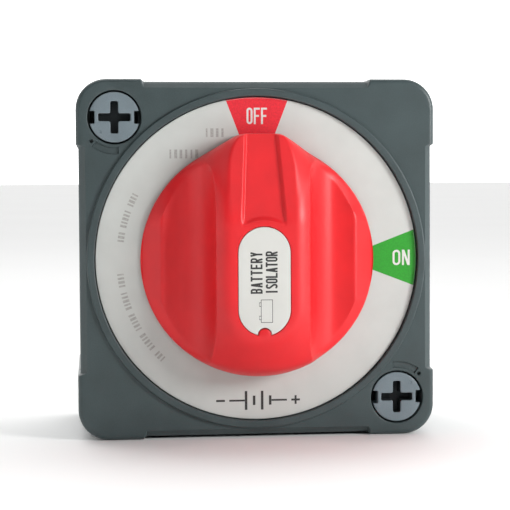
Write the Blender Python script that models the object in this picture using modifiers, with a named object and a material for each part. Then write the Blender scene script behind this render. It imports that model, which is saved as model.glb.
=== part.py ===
"""Battery switch for a boat: a square surface-mounted housing with a rotary knob.

The switch is modelled lying on its back in a "face frame": X to the right, Y up the face
and Z forward, out of the face. The empty at the end of the chain turns that frame upright,
so in the world the face looks along -Y and +Z is up. The origin is the centre of the rear
mounting plane, on the knob's axis. Every height below is a distance in front of that plane.
"""

import math

import bmesh
import bpy
from mathutils import Matrix, Vector

MM = 0.001
GAP = 0.3 * MM

# Square housing: base frame behind, front cover ahead of it
BODY_HALF = 53.0 * MM
CORNER_RADIUS = 9.0 * MM
BASE_TOP = 44.0 * MM
WALL = 3.4 * MM
FACE_HEIGHT = 56.0 * MM
COVER_UNDERSIDE = 52.0 * MM
COVER_WALL = 2.8 * MM
COVER_EDGE_CHAMFER = 2.0 * MM

# Shallow recess in the middle of each side of the housing
RECESS_HALF = 33.0 * MM
RECESS_DEPTH = 0.7 * MM
RECESS_RAMP = 0.9 * MM

# Removable side plates that close the cable entries of the base
ENTRY_HALF = 30.3 * MM
ENTRY_TOP = 36.3 * MM
PLATE_THICKNESS = 2.6 * MM
TONGUE_REACH = 1.5 * MM
TONGUE_THICKNESS = 1.0 * MM

# Corner posts, quarter-turn fasteners and bulkhead screw pads
POST_CENTRE = 41.74 * MM
POST_HALF = 8.6 * MM
SOCKET_PLATE_LOW = 40.5 * MM
SOCKET_LOW = 31.0 * MM
SOCKET_RADIUS = 7.1 * MM
FASTENER_HOLE = 7.75 * MM
FASTENER_RADIUS = 7.45 * MM
FASTENER_TOP = 55.7 * MM
FASTENER_HEAD_LOW = 50.0 * MM
FASTENER_SEAT = 48.0 * MM
FASTENER_SHANK = 4.6 * MM
FASTENER_TIP = 34.0 * MM
LUG_HALF = 6.6 * MM
LUG_WIDTH = 4.0 * MM
LUG_LOW = 36.6 * MM
LUG_HIGH = 40.0 * MM
CROSS_LENGTH = 9.35 * MM
CROSS_WIDTH = 2.3 * MM
CROSS_DEPTH = 2.6 * MM
BOSS_RADIUS = 9.4 * MM
SCREW_SEAT = 8.0 * MM
SCREW_HOLE = 2.6 * MM
RIB_THICKNESS = 3.0 * MM
RIB_TOP = 18.0 * MM

# Dial and the raised ring round it
RING_INNER = 47.9 * MM
RING_OUTER = 50.2 * MM
RING_CREST = 57.0 * MM
DIAL_RADIUS = 47.6 * MM
DIAL_TOP = 55.6 * MM
DIAL_THICKNESS = 0.8 * MM
DIAL_BORE = 11.0 * MM

# Knob: a low dome with a pointer, cut away on both sides to leave a grip bar
KNOB_LOW = 56.2 * MM
KNOB_EDGE = 57.4 * MM
KNOB_RIDGE = 60.0 * MM
KNOB_SHOULDER = 72.6 * MM
KNOB_TOP = 74.6 * MM
KNOB_RADIUS = 34.5 * MM
RIDGE_RADIUS = 31.3 * MM
BROW_RADIUS = 28.6 * MM
SHOULDER_RADIUS = 25.2 * MM
CROWN_RADIUS = 23.0 * MM
POINTER_TIP = 36.6 * MM
POINTER_HALF = 5.5 * MM
POINTER_BROW = 66.0 * MM
CHANNEL_START = 11.3 * MM
CHANNEL_SLOPE = 16.0
GRIP_TOP_HALF = 9.1 * MM
GRIP_BASE_HALF = 13.0 * MM
TROUGH_FLOOR = 58.0 * MM
TROUGH_RADIUS = 30.9 * MM
INSERT_WIDTH = 14.9 * MM
INSERT_LENGTH = 31.2 * MM
INSERT_CENTRE_Y = -5.6 * MM
INSERT_THICKNESS = 1.6 * MM
PRY_NOTCH_RADIUS = 2.0 * MM
HUB_WEB_LOW = 63.6 * MM
HUB_WEB_HIGH = 66.0 * MM
KNOB_SCREW_RADIUS = 2.2 * MM

# Rotor and its detent
SHAFT_RADIUS = 9.0 * MM
SHAFT_TOP = 55.9 * MM
DRIVE_SIZE = 10.0 * MM
LOWER_DRIVE_SIZE = 8.0 * MM
CAM_LOW = 45.0 * MM
CAM_HIGH = 48.5 * MM
CAM_MEAN_RADIUS = 18.3 * MM
CAM_LIFT = 1.3 * MM
CAM_NOTCHES = 4

# Contact chamber behind the cover
CUP_RADIUS = 33.0 * MM
CUP_INNER = 29.0 * MM
CUP_FLOOR_LOW = 26.0 * MM
CUP_FLOOR_HIGH = 30.0 * MM
CUP_RIM = 49.6 * MM
EAR_DISTANCE = 38.0 * MM
EAR_RADIUS = 4.6 * MM
EAR_LOW = 41.0 * MM
EAR_HIGH = 44.6 * MM
CONTACT_HEIGHT = 34.0 * MM
BRIDGE_THICKNESS = 3.5 * MM
BRIDGE_LENGTH = 52.0 * MM
BRIDGE_WIDTH = 14.0 * MM

# M10 terminal studs and their hardware
STUD_X = 20.0 * MM
STUD_RADIUS = 4.9 * MM
STUD_HEAD_RADIUS = 7.5 * MM
STUD_END = 8.0 * MM
NUT_ACROSS_FLATS = 17.0 * MM
NUT_LOW = 13.2 * MM
NUT_HIGH = 21.2 * MM

CORNERS = {"top_left": (-1, 1), "bottom_right": (1, -1)}
SCREW_CORNERS = {"top_right": (1, 1), "bottom_left": (-1, -1)}
SIDES = {"right": 0.0, "top": 90.0, "left": 180.0, "bottom": 270.0}


def clear_scene():
    """Remove every object of the scene."""
    for obj in list(bpy.data.objects):
        bpy.data.objects.remove(obj, do_unlink=True)


def new_collection(name):
    """Make a collection and link it to the scene."""
    collection = bpy.data.collections.new(name)
    bpy.context.scene.collection.children.link(collection)
    return collection


clear_scene()
PARTS = new_collection("battery_switch")
CUTTERS = new_collection("cutters")
UPRIGHT = bpy.data.objects.new("face_frame", None)
UPRIGHT.rotation_euler = (math.radians(90.0), 0.0, 0.0)
CUTTERS.objects.link(UPRIGHT)


def make_material(name, color, roughness, metallic=0.0):
    """A Principled material with one colour, roughness and metallic value."""
    material = bpy.data.materials.new(name)
    material.use_nodes = True
    shader = material.node_tree.nodes["Principled BSDF"]
    shader.inputs["Base Color"].default_value = (*color, 1.0)
    shader.inputs["Roughness"].default_value = roughness
    shader.inputs["Metallic"].default_value = metallic
    return material


HOUSING_GREY = make_material("housing_plastic", (0.065, 0.085, 0.09), 0.5)
DIAL_WHITE = make_material("dial_plastic", (0.62, 0.63, 0.58), 0.45)
KNOB_RED = make_material("knob_plastic", (0.72, 0.035, 0.035), 0.35)
INSERT_WHITE = make_material("insert_plastic", (0.68, 0.69, 0.65), 0.4)
FASTENER_GREY = make_material("fastener_plastic", (0.17, 0.22, 0.24), 0.45)
CHAMBER_BLACK = make_material("chamber_plastic", (0.03, 0.03, 0.032), 0.6)
ROTOR_PLASTIC = make_material("rotor_plastic", (0.45, 0.43, 0.38), 0.55)
TINNED_COPPER = make_material("tinned_copper", (0.62, 0.60, 0.55), 0.3, 1.0)
BARE_COPPER = make_material("bare_copper", (0.72, 0.38, 0.22), 0.3, 1.0)
STAINLESS = make_material("stainless_steel", (0.58, 0.58, 0.57), 0.3, 1.0)
SPRING_STEEL = make_material("spring_steel", (0.42, 0.42, 0.43), 0.35, 1.0)
SEAL_RUBBER = make_material("seal_rubber", (0.02, 0.02, 0.02), 0.75)


def place(name, mesh, material=None, location=(0.0, 0.0, 0.0)):
    """Add a mesh as a part, or as a hidden cutter where it has no material."""
    obj = bpy.data.objects.new(name, mesh)
    if material is None:
        CUTTERS.objects.link(obj)
        obj.hide_render = True
        obj.display_type = "WIRE"
    else:
        PARTS.objects.link(obj)
        mesh.materials.append(material)
    obj.parent = UPRIGHT
    obj.location = location
    return obj


def smooth(obj, degrees=35.0):
    """Shade an object's mesh smooth with sharp edges kept."""
    obj.data.shade_smooth()
    obj.data.set_sharp_from_angle(angle=math.radians(degrees))
    return obj


def mesh_from(name, build):
    """Make a mesh from a function that fills a bmesh."""
    mesh = bpy.data.meshes.new(name)
    bm = bmesh.new()
    build(bm)
    bm.to_mesh(mesh)
    bm.free()
    return mesh


def box(name, size, centre, material=None, turn=0.0, location=(0.0, 0.0, 0.0)):
    """A box of a size round a centre, turned about the Z axis through its centre."""
    matrix = Matrix.Translation(centre) @ Matrix.Rotation(math.radians(turn), 4, "Z")
    matrix = matrix @ Matrix.Diagonal((*size, 1.0))
    mesh = mesh_from(name, lambda bm: bmesh.ops.create_cube(bm, size=1.0, matrix=matrix))
    return place(name, mesh, material, location)


def cylinder(name, radius, low, high, material=None, at=(0.0, 0.0), segments=32):
    """A round bar between two heights."""
    matrix = Matrix.Translation((at[0], at[1], (low + high) / 2))

    def build(bm):
        bmesh.ops.create_cone(
            bm, cap_ends=True, segments=segments, radius1=radius, radius2=radius,
            depth=high - low, matrix=matrix,
        )

    return place(name, mesh_from(name, build), material)


def turned(name, profile, material=None, closed=False, at=(0.0, 0.0), steps=32):
    """Turn a profile of (radius, height) points round a vertical axis."""
    mesh = bpy.data.meshes.new(name)
    points = [(radius, 0.0, height) for radius, height in profile]
    edges = [(i, i + 1) for i in range(len(points) - 1)]
    if closed:
        edges.append((len(points) - 1, 0))
    mesh.from_pydata(points, edges, [])
    obj = place(name, mesh, material, (at[0], at[1], 0.0))
    screw = obj.modifiers.new("turn", "SCREW")
    screw.steps = steps
    screw.render_steps = steps
    screw.use_merge_vertices = True
    screw.merge_threshold = 0.01 * MM
    screw.use_smooth_shade = True
    return obj


def prism(name, outline, low, high, material=None, location=(0.0, 0.0, 0.0)):
    """Extrude a flat outline between two heights, as a mesh that can be cut."""
    curve = bpy.data.curves.new(name, "CURVE")
    curve.dimensions = "2D"
    curve.fill_mode = "BOTH"
    curve.extrude = (high - low) / 2
    spline = curve.splines.new("POLY")
    spline.points.add(len(outline) - 1)
    for point, (x, y) in zip(spline.points, outline):
        point.co = (x, y, 0.0, 1.0)
    spline.use_cyclic_u = True
    return place(name, curve_mesh(name, curve, (low + high) / 2), material, location)


def curve_mesh(name, curve, lift=0.0):
    """Turn curve data into a welded mesh, moved up by a lift."""
    holder = bpy.data.objects.new(name + "_curve", curve)
    CUTTERS.objects.link(holder)
    bpy.context.view_layer.update()
    evaluated = holder.evaluated_get(bpy.context.evaluated_depsgraph_get())
    mesh = bpy.data.meshes.new_from_object(evaluated)
    bpy.data.objects.remove(holder)
    bm = bmesh.new()
    bm.from_mesh(mesh)
    bmesh.ops.translate(bm, verts=bm.verts, vec=(0.0, 0.0, lift))
    bmesh.ops.remove_doubles(bm, verts=bm.verts, dist=0.005 * MM)
    bmesh.ops.recalc_face_normals(bm, faces=bm.faces)
    bm.to_mesh(mesh)
    bm.free()
    mesh.name = name
    return mesh


def loft(name, rings, material=None):
    """Skin a stack of rings with equal point counts, lowest first, and cap both ends."""

    def build(bm):
        loops = [[bm.verts.new(point) for point in ring] for ring in rings]
        bm.faces.new(reversed(loops[0]))
        bm.faces.new(loops[-1])
        count = len(loops[0])
        for lower, upper in zip(loops, loops[1:]):
            for i in range(count):
                j = (i + 1) % count
                bm.faces.new((lower[i], lower[j], upper[j], upper[i]))

    return place(name, mesh_from(name, build), material)


def boolean(obj, tools, operation):
    """Cut, join or intersect an object with helper objects, one exact Boolean each."""
    for tool in tools:
        modifier = obj.modifiers.new(tool.name, "BOOLEAN")
        modifier.operation = operation
        modifier.solver = "EXACT"
        modifier.object = tool
    return obj


def cut(obj, *tools):
    """Take helper objects away from an object."""
    return boolean(obj, tools, "DIFFERENCE")


def join(obj, *tools):
    """Add helper objects to an object."""
    return boolean(obj, tools, "UNION")


def arc(centre, radius, start, end, steps):
    """Points along an arc, angles in degrees, both ends included."""
    angles = [math.radians(start + (end - start) * i / steps) for i in range(steps + 1)]
    return [(centre[0] + radius * math.cos(a), centre[1] + radius * math.sin(a)) for a in angles]


def rounded_square(half, radius, steps=4):
    """A square with round corners, counter-clockwise."""
    points = []
    inner = half - radius
    for k, (sx, sy) in enumerate([(1, 1), (-1, 1), (-1, -1), (1, -1)]):
        points += arc((sx * inner, sy * inner), radius, 90.0 * k, 90.0 * k + 90.0, steps)
    return points


def housing_outline(shrink=0.0):
    """The housing's outline: round corners and a shallow recess in each side."""
    half = BODY_HALF - shrink
    inner = half - CORNER_RADIUS
    corner = arc((inner, inner), CORNER_RADIUS, 0.0, 90.0, 5)
    side = [
        (half, -RECESS_HALF - RECESS_RAMP),
        (half - RECESS_DEPTH, -RECESS_HALF),
        (half - RECESS_DEPTH, RECESS_HALF),
        (half, RECESS_HALF + RECESS_RAMP),
    ]
    quarter = side + corner
    points = []
    for k in range(4):
        turn = Matrix.Rotation(math.radians(90.0 * k), 2)
        points += [tuple(turn @ Vector(point)) for point in quarter]
    return points


def stadium(length, width, centre_y=0.0, steps=10):
    """A long outline with half-round ends, lengthwise along Y."""
    radius = width / 2
    reach = length / 2 - radius
    upper = arc((0.0, centre_y + reach), radius, 0.0, 180.0, steps)
    lower = arc((0.0, centre_y - reach), radius, 180.0, 360.0, steps)
    return upper + lower


def ring_section(radius, wire, height, steps=8):
    """The round section of an O-ring, as a clockwise closed profile."""
    return list(reversed(arc((radius, height), wire, 0.0, 360.0 - 360.0 / steps, steps - 1)))


def corner_point(signs):
    """The centre of a corner post on the face."""
    return (signs[0] * POST_CENTRE, signs[1] * POST_CENTRE)


def side_box(name, side, across, depth, low, high, distance):
    """A helper box across one side of the housing, centred at a distance from the axis."""
    angle = math.radians(SIDES[side])
    centre = (distance * math.cos(angle), distance * math.sin(angle), (low + high) / 2)
    return box(name, (depth, across, high - low), centre, turn=SIDES[side])


def make_base_frame():
    """The open box that is screwed to the bulkhead, with a cable entry in each side."""
    over = 1.0 * MM
    frame = prism("base_frame", housing_outline(), 0.0, BASE_TOP, HOUSING_GREY)
    inside = prism("base_inside", rounded_square(BODY_HALF - WALL, 6.0 * MM), -over, BASE_TOP + over)
    cut(frame, inside)
    for label, signs in CORNERS.items():
        post = box("post_" + label, (2 * POST_HALF, 2 * POST_HALF, BASE_TOP - 2 * GAP),
                   (*corner_point(signs), BASE_TOP / 2))
        join(frame, post)
    for label, signs in SCREW_CORNERS.items():
        pad = box("pad_" + label, (2 * POST_HALF, 2 * POST_HALF, SCREW_SEAT),
                  (*corner_point(signs), SCREW_SEAT / 2))
        join(frame, pad)
    rib_length = 2 * math.sqrt(2) * (POST_CENTRE - POST_HALF / 2)
    rib = box("barrier_rib", (rib_length, RIB_THICKNESS, RIB_TOP), (0.0, 0.0, RIB_TOP / 2), turn=-45.0)
    join(frame, rib)
    for label, signs in CORNERS.items():
        at = corner_point(signs)
        cut(
            frame,
            cylinder("socket_" + label, SOCKET_RADIUS, SOCKET_LOW, SOCKET_PLATE_LOW, at=at),
            cylinder("socket_eye_" + label, FASTENER_SHANK + 0.5 * MM, SOCKET_PLATE_LOW - over,
                     BASE_TOP + over, at=at, segments=24),
            box("socket_slot_" + label, (LUG_WIDTH + 0.8 * MM, 2 * LUG_HALF + 0.8 * MM, 6.0 * MM),
                (at[0], at[1], BASE_TOP - 1.0 * MM)),
        )
    for label, signs in SCREW_CORNERS.items():
        cut(frame, cylinder("screw_hole_" + label, SCREW_HOLE, -over, SCREW_SEAT + over,
                            at=corner_point(signs), segments=20))
    face = BODY_HALF - RECESS_DEPTH - PLATE_THICKNESS / 2
    for side in SIDES:
        groove = 2 * (ENTRY_HALF + TONGUE_REACH)
        cut(
            frame,
            side_box("entry_" + side, side, 2 * ENTRY_HALF, 12.0 * MM, -over, ENTRY_TOP, BODY_HALF),
            side_box("groove_" + side, side, groove, TONGUE_THICKNESS + 2 * GAP, -over, ENTRY_TOP, face),
        )
    return smooth(frame)


def make_side_plates():
    """Four plates that slide into the base from the rear and close the cable entries."""
    for side, degrees in SIDES.items():
        angle = math.radians(degrees)
        distance = BODY_HALF - RECESS_DEPTH - PLATE_THICKNESS / 2
        low, high = GAP, ENTRY_TOP - GAP
        height = high - low
        width = 2 * (ENTRY_HALF - GAP)
        plate = box("side_plate_" + side, (PLATE_THICKNESS, width, height), (0.0, 0.0, 0.0), HOUSING_GREY)
        place_side = (distance * math.cos(angle), distance * math.sin(angle), (low + high) / 2)
        tongue = box("tongue_" + side, (TONGUE_THICKNESS, width + 2 * TONGUE_REACH - GAP, height - GAP),
                     (0.0, 0.0, 0.0))
        for obj in (plate, tongue):
            obj.location = place_side
            obj.rotation_euler = (0.0, 0.0, angle)
        join(plate, tongue)


def make_front_cover():
    """The square front with its ring, dial recess, fastener wells and rear bosses."""
    over = 1.0 * MM
    low = BASE_TOP + GAP
    cover = prism("front_cover", housing_outline(), low, FACE_HEIGHT, HOUSING_GREY)
    cavity = rounded_square(BODY_HALF - COVER_WALL, 6.5 * MM)
    cut(cover, prism("cover_inside", cavity, low - over, COVER_UNDERSIDE))
    ring = [
        (0.0, RING_CREST),
        (RING_OUTER - 0.9 * MM, RING_CREST),
        (RING_OUTER, RING_CREST - 0.7 * MM),
        (RING_OUTER, FACE_HEIGHT - 2.0 * MM),
        (0.0, FACE_HEIGHT - 2.0 * MM),
    ]
    join(cover, turned("bezel_ring", ring, steps=64))
    for label, signs in CORNERS.items():
        at = corner_point(signs)
        join(cover, cylinder("well_" + label, BOSS_RADIUS, low + GAP, COVER_UNDERSIDE + over, at=at))
    join(cover, cylinder("collar", 13.5 * MM, 49.0 * MM, COVER_UNDERSIDE + over))
    for side, degrees in SIDES.items():
        at = arc((0.0, 0.0), EAR_DISTANCE, degrees, degrees, 1)[0]
        boss = cylinder("screw_boss_" + side, 4.2 * MM, EAR_HIGH + GAP, COVER_UNDERSIDE + over,
                        at=at, segments=20)
        join(cover, boss)
        cut(cover, cylinder("pilot_" + side, 1.9 * MM, low, 51.0 * MM, at=at, segments=16))
        wedge = side_box("edge_" + side, side, 2 * RECESS_HALF, 6.0 * MM, 0.0, 6.0 * MM, 0.0)
        reach = BODY_HALF - RECESS_DEPTH - COVER_EDGE_CHAMFER / 2 + 3.0 * MM / math.sqrt(2)
        lift = FACE_HEIGHT - COVER_EDGE_CHAMFER / 2 + 3.0 * MM / math.sqrt(2)
        tilt_about_side(wedge, degrees, reach, lift)
        cut(cover, wedge)
    cut(
        cover,
        cylinder("dial_recess", RING_INNER, DIAL_TOP - DIAL_THICKNESS - GAP, RING_CREST + over, segments=64),
        cylinder("seal_seat", 11.6 * MM, 48.0 * MM, COVER_UNDERSIDE),
        cylinder("shaft_hole", SHAFT_RADIUS + GAP, 48.0 * MM, FACE_HEIGHT),
    )
    for label, signs in CORNERS.items():
        at = corner_point(signs)
        cut(
            cover,
            cylinder("head_well_" + label, FASTENER_HOLE, FASTENER_SEAT, FACE_HEIGHT + over, at=at),
            cylinder("shank_hole_" + label, FASTENER_SHANK + 0.4 * MM, low - over, FASTENER_SEAT + over,
                     at=at, segments=24),
        )
    return smooth(cover)


def tilt_about_side(wedge, degrees, reach, lift):
    """Stand a square bar on its edge along a side, so that it chamfers the face's edge."""
    bm = bmesh.new()
    bm.from_mesh(wedge.data)
    bmesh.ops.translate(bm, verts=bm.verts, vec=(0.0, 0.0, -3.0 * MM))
    turn = Matrix.Rotation(math.radians(degrees), 4, "Z")
    bmesh.ops.transform(bm, matrix=turn.inverted(), verts=bm.verts)
    bmesh.ops.rotate(bm, verts=bm.verts, cent=(0.0, 0.0, 0.0), matrix=Matrix.Rotation(math.pi / 4, 3, "Y"))
    bmesh.ops.translate(bm, verts=bm.verts, vec=(reach, 0.0, lift))
    bmesh.ops.transform(bm, matrix=turn, verts=bm.verts)
    bm.to_mesh(wedge.data)
    bm.free()


def make_dial_plate():
    """The pale disc with the switch positions, laid in the cover's recess."""
    top, low = DIAL_TOP, DIAL_TOP - DIAL_THICKNESS
    profile = [(DIAL_BORE, top), (DIAL_RADIUS, top), (DIAL_RADIUS, low), (DIAL_BORE, low)]
    turned("dial_plate", profile, DIAL_WHITE, closed=True, steps=64)


def pointer_ring(radius, tip, half, height, count=72):
    """A circle drawn out to a blunt pointer along +Y, as a ring of points at a height."""
    lean = math.atan2(half, tip) + math.acos(min(1.0, radius / math.hypot(half, tip)))
    ring = []
    for i in range(count):
        angle = 2 * math.pi * i / count
        off = abs(math.remainder(angle, 2 * math.pi))
        reach = radius
        if off < lean:
            reach = min(radius / math.cos(lean - off), tip / math.cos(off))
        ring.append((-reach * math.sin(angle), reach * math.cos(angle), height))
    return ring


def trough_section(sign):
    """The section of the finger trough beside the grip bar, as (x, z) points."""
    flank_foot = (GRIP_BASE_HALF, 63.0 * MM)
    middle = (GRIP_BASE_HALF + TROUGH_RADIUS) / 2
    half_width = (TROUGH_RADIUS - GRIP_BASE_HALF) / 2
    points = [(GRIP_TOP_HALF, KNOB_TOP + 1.0 * MM), flank_foot]
    for i in range(1, 7):
        along = -1.0 + 2.0 * i / 7
        sag = (1.0 - along * along) * (KNOB_RIDGE - TROUGH_FLOOR)
        rise = (flank_foot[1] - KNOB_RIDGE) * max(0.0, -along) ** 2
        points.append((middle + along * half_width, KNOB_RIDGE - sag + rise))
    points += [(TROUGH_RADIUS + MM, KNOB_RIDGE + 0.2 * MM), (TROUGH_RADIUS + MM, KNOB_TOP + 1.0 * MM)]
    return [(sign * x, z) for x, z in points]


def make_trough(label, sign):
    """The cutter of one finger trough: its section swept along Y, inside a circle."""
    points = trough_section(sign)
    trough = prism("trough_" + label, points, -32.0 * MM, 32.0 * MM)
    trough.data.transform(Matrix.Rotation(math.radians(90.0), 4, "X"))
    limit = cylinder("trough_limit_" + label, TROUGH_RADIUS, KNOB_LOW, KNOB_TOP + 2.0 * MM, segments=64)
    return boolean(trough, [limit], "INTERSECT")


def make_knob():
    """The knob: a lofted dome with a pointer, two finger troughs and a seat for the insert."""
    over = 1.0 * MM
    rings = [
        pointer_ring(KNOB_RADIUS, POINTER_TIP, POINTER_HALF, KNOB_LOW),
        pointer_ring(KNOB_RADIUS, POINTER_TIP, POINTER_HALF, KNOB_EDGE),
        pointer_ring(RIDGE_RADIUS, POINTER_TIP - 0.3 * MM, POINTER_HALF, KNOB_RIDGE),
        pointer_ring(BROW_RADIUS, POINTER_TIP - 1.3 * MM, POINTER_HALF + 0.4 * MM, POINTER_BROW),
        pointer_ring(SHOULDER_RADIUS, POINTER_TIP - 5.6 * MM, POINTER_HALF + 0.8 * MM, KNOB_SHOULDER),
        pointer_ring(CROWN_RADIUS, POINTER_TIP - 9.6 * MM, POINTER_HALF + 1.1 * MM, KNOB_TOP),
    ]
    knob = loft("knob", rings, KNOB_RED)
    cut(knob, make_trough("left", -1), make_trough("right", 1))
    seat = KNOB_TOP - INSERT_THICKNESS - GAP
    insert_seat = stadium(INSERT_LENGTH + 2 * GAP, INSERT_WIDTH + 2 * GAP, INSERT_CENTRE_Y, 12)
    channel = box("channel", (2 * POINTER_HALF, 34.0 * MM, 16.0 * MM), (0.0, 17.0 * MM, 8.0 * MM))
    channel.data.transform(Matrix.Rotation(math.radians(-CHANNEL_SLOPE), 4, "X"))
    channel.location = (0.0, CHANNEL_START, KNOB_TOP - 0.7 * MM)
    cut(
        knob,
        channel,
        prism("insert_seat", insert_seat, seat, KNOB_TOP + over),
        cylinder("screw_well", 5.6 * MM, HUB_WEB_HIGH, KNOB_TOP + over),
        cylinder("screw_way", KNOB_SCREW_RADIUS + 0.4 * MM, KNOB_LOW - over, HUB_WEB_HIGH + over, segments=20),
        box("drive_socket", (DRIVE_SIZE + 2 * GAP, DRIVE_SIZE + 2 * GAP, 2 * (HUB_WEB_LOW - KNOB_LOW)),
            (0.0, 0.0, KNOB_LOW)),
    )
    for label, y, length in [("upper", 17.5 * MM, 11.0 * MM), ("lower", -16.5 * MM, 9.0 * MM)]:
        core = box("core_" + label, (13.0 * MM, length, 2 * 12.0 * MM), (0.0, y, KNOB_LOW))
        cut(knob, core)
    return smooth(knob, 28.0)


def make_knob_insert():
    """The snap-in label that hides the knob's screw, with a half-round pry notch."""
    low = KNOB_TOP - INSERT_THICKNESS
    outline = stadium(INSERT_LENGTH, INSERT_WIDTH, INSERT_CENTRE_Y, 12)
    insert = prism("knob_insert", outline, low, KNOB_TOP, INSERT_WHITE)
    end = (0.0, INSERT_CENTRE_Y - INSERT_LENGTH / 2)
    cut(insert, cylinder("pry_notch", PRY_NOTCH_RADIUS, low - MM, KNOB_TOP + MM, at=end, segments=24))
    smooth(insert)


def make_knob_fixing():
    """The screw and washer that hold the knob on the rotor."""
    washer_low, washer_high = HUB_WEB_HIGH + GAP, HUB_WEB_HIGH + GAP + 0.8 * MM
    washer = [(KNOB_SCREW_RADIUS + 0.4 * MM, washer_high), (5.2 * MM, washer_high), (5.2 * MM, washer_low),
              (KNOB_SCREW_RADIUS + 0.4 * MM, washer_low)]
    turned("knob_washer", washer, STAINLESS, closed=True, steps=24)
    head_low = washer_high + GAP
    head_high = head_low + 3.2 * MM
    tip = 52.0 * MM
    profile = [(0.0, head_high), (3.2 * MM, head_high), (4.6 * MM, head_high - MM), (4.6 * MM, head_low),
               (KNOB_SCREW_RADIUS, head_low), (KNOB_SCREW_RADIUS, tip + MM), (1.4 * MM, tip), (0.0, tip)]
    screw = turned("knob_screw", profile, STAINLESS, steps=24)
    drive = 2.0 * MM
    for label, size in [("a", (5.2 * MM, 1.2 * MM, 2 * drive)), ("b", (1.2 * MM, 5.2 * MM, 2 * drive))]:
        cut(screw, box("knob_screw_slot_" + label, size, (0.0, 0.0, head_high)))


def cam_outline(count=64):
    """The rotor's cam: a circle with four even hollows that the detent springs drop into."""
    points = []
    for i in range(count):
        angle = 2 * math.pi * i / count
        radius = CAM_MEAN_RADIUS - CAM_LIFT * math.cos(CAM_NOTCHES * angle)
        points.append((radius * math.cos(angle), radius * math.sin(angle)))
    return points


def make_rotor():
    """The shaft between the knob and the contact bridge, with its cam and square drives."""
    rotor = prism("rotor", cam_outline(), CAM_LOW, CAM_HIGH, ROTOR_PLASTIC)
    drive_top = HUB_WEB_LOW - GAP
    lower_low = CUP_FLOOR_HIGH + 1.0 * MM
    join(
        rotor,
        cylinder("rotor_shaft", SHAFT_RADIUS, CAM_HIGH - MM, SHAFT_TOP),
        box("rotor_drive", (DRIVE_SIZE, DRIVE_SIZE, drive_top - SHAFT_TOP + MM),
            (0.0, 0.0, (drive_top + SHAFT_TOP - MM) / 2)),
        box("rotor_lower_drive", (LOWER_DRIVE_SIZE, LOWER_DRIVE_SIZE, CAM_LOW + MM - lower_low),
            (0.0, 0.0, (CAM_LOW + MM + lower_low) / 2)),
    )
    cut(rotor, cylinder("rotor_bore", KNOB_SCREW_RADIUS + GAP, 51.0 * MM, 65.0 * MM, segments=20))
    smooth(rotor)


def make_detent_springs():
    """Two leaf springs that press a bump into the cam's hollows from either side."""
    thickness = 0.8 * MM
    bump = CAM_MEAN_RADIUS - CAM_LIFT + GAP + thickness / 2
    half = [(bump, 0.0), (bump + 0.5 * MM, 1.6 * MM), (bump + 4.0 * MM, 6.6 * MM), (24.3 * MM, 13.4 * MM)]
    for label, sign in [("right", 1), ("left", -1)]:
        centre = [(x, -y) for x, y in reversed(half[1:])] + half
        outer = offset_line(centre, thickness / 2)
        inner = offset_line(centre, -thickness / 2)
        outline = outer + list(reversed(inner))
        outline = [(sign * x, sign * y) for x, y in outline]
        prism("detent_spring_" + label, outline, CAM_LOW + 0.4 * MM, CAM_HIGH - 0.4 * MM, SPRING_STEEL)


def offset_line(points, distance):
    """Shift an open line sideways by a distance."""
    shifted = []
    for i, (x, y) in enumerate(points):
        before = Vector(points[max(0, i - 1)])
        after = Vector(points[min(len(points) - 1, i + 1)])
        along = (after - before).normalized()
        shifted.append((x + along.y * distance, y - along.x * distance))
    return shifted


def make_contact_housing():
    """The cup that holds the contacts behind the cover, with four screw ears."""
    over = 1.0 * MM
    profile = [(0.0, CUP_FLOOR_HIGH), (CUP_INNER, CUP_FLOOR_HIGH), (CUP_INNER, CUP_RIM),
               (CUP_RADIUS, CUP_RIM), (CUP_RADIUS, CUP_FLOOR_LOW), (0.0, CUP_FLOOR_LOW)]
    housing = turned("contact_housing", profile, CHAMBER_BLACK, steps=40)
    for side, degrees in SIDES.items():
        at = arc((0.0, 0.0), EAR_DISTANCE, degrees, degrees, 1)[0]
        web_length = EAR_DISTANCE - CUP_RADIUS + 2.0 * MM
        web_middle = (EAR_DISTANCE + CUP_RADIUS - 2.0 * MM) / 2
        join(
            housing,
            side_box("ear_web_" + side, side, 2 * EAR_RADIUS - 0.4 * MM, web_length,
                     EAR_LOW + 0.1 * MM, EAR_HIGH - 0.1 * MM, web_middle),
            cylinder("ear_" + side, EAR_RADIUS, EAR_LOW, EAR_HIGH, at=at, segments=24),
        )
        cut(housing, cylinder("ear_hole_" + side, 2.1 * MM, EAR_LOW - over, EAR_HIGH + over, at=at, segments=16))
    for label, sign in [("upper", 1), ("lower", -1)]:
        at = (0.0, sign * STUD_X)
        join(housing, cylinder("rest_pad_" + label, 6.5 * MM, CUP_FLOOR_HIGH - over, CONTACT_HEIGHT, at=at))
    for label, sign in [("left", -1), ("right", 1)]:
        at = (sign * STUD_X, 0.0)
        cut(housing, cylinder("stud_way_" + label, STUD_RADIUS + 0.4 * MM, CUP_FLOOR_LOW - over,
                              CUP_FLOOR_HIGH + over, at=at))


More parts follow.
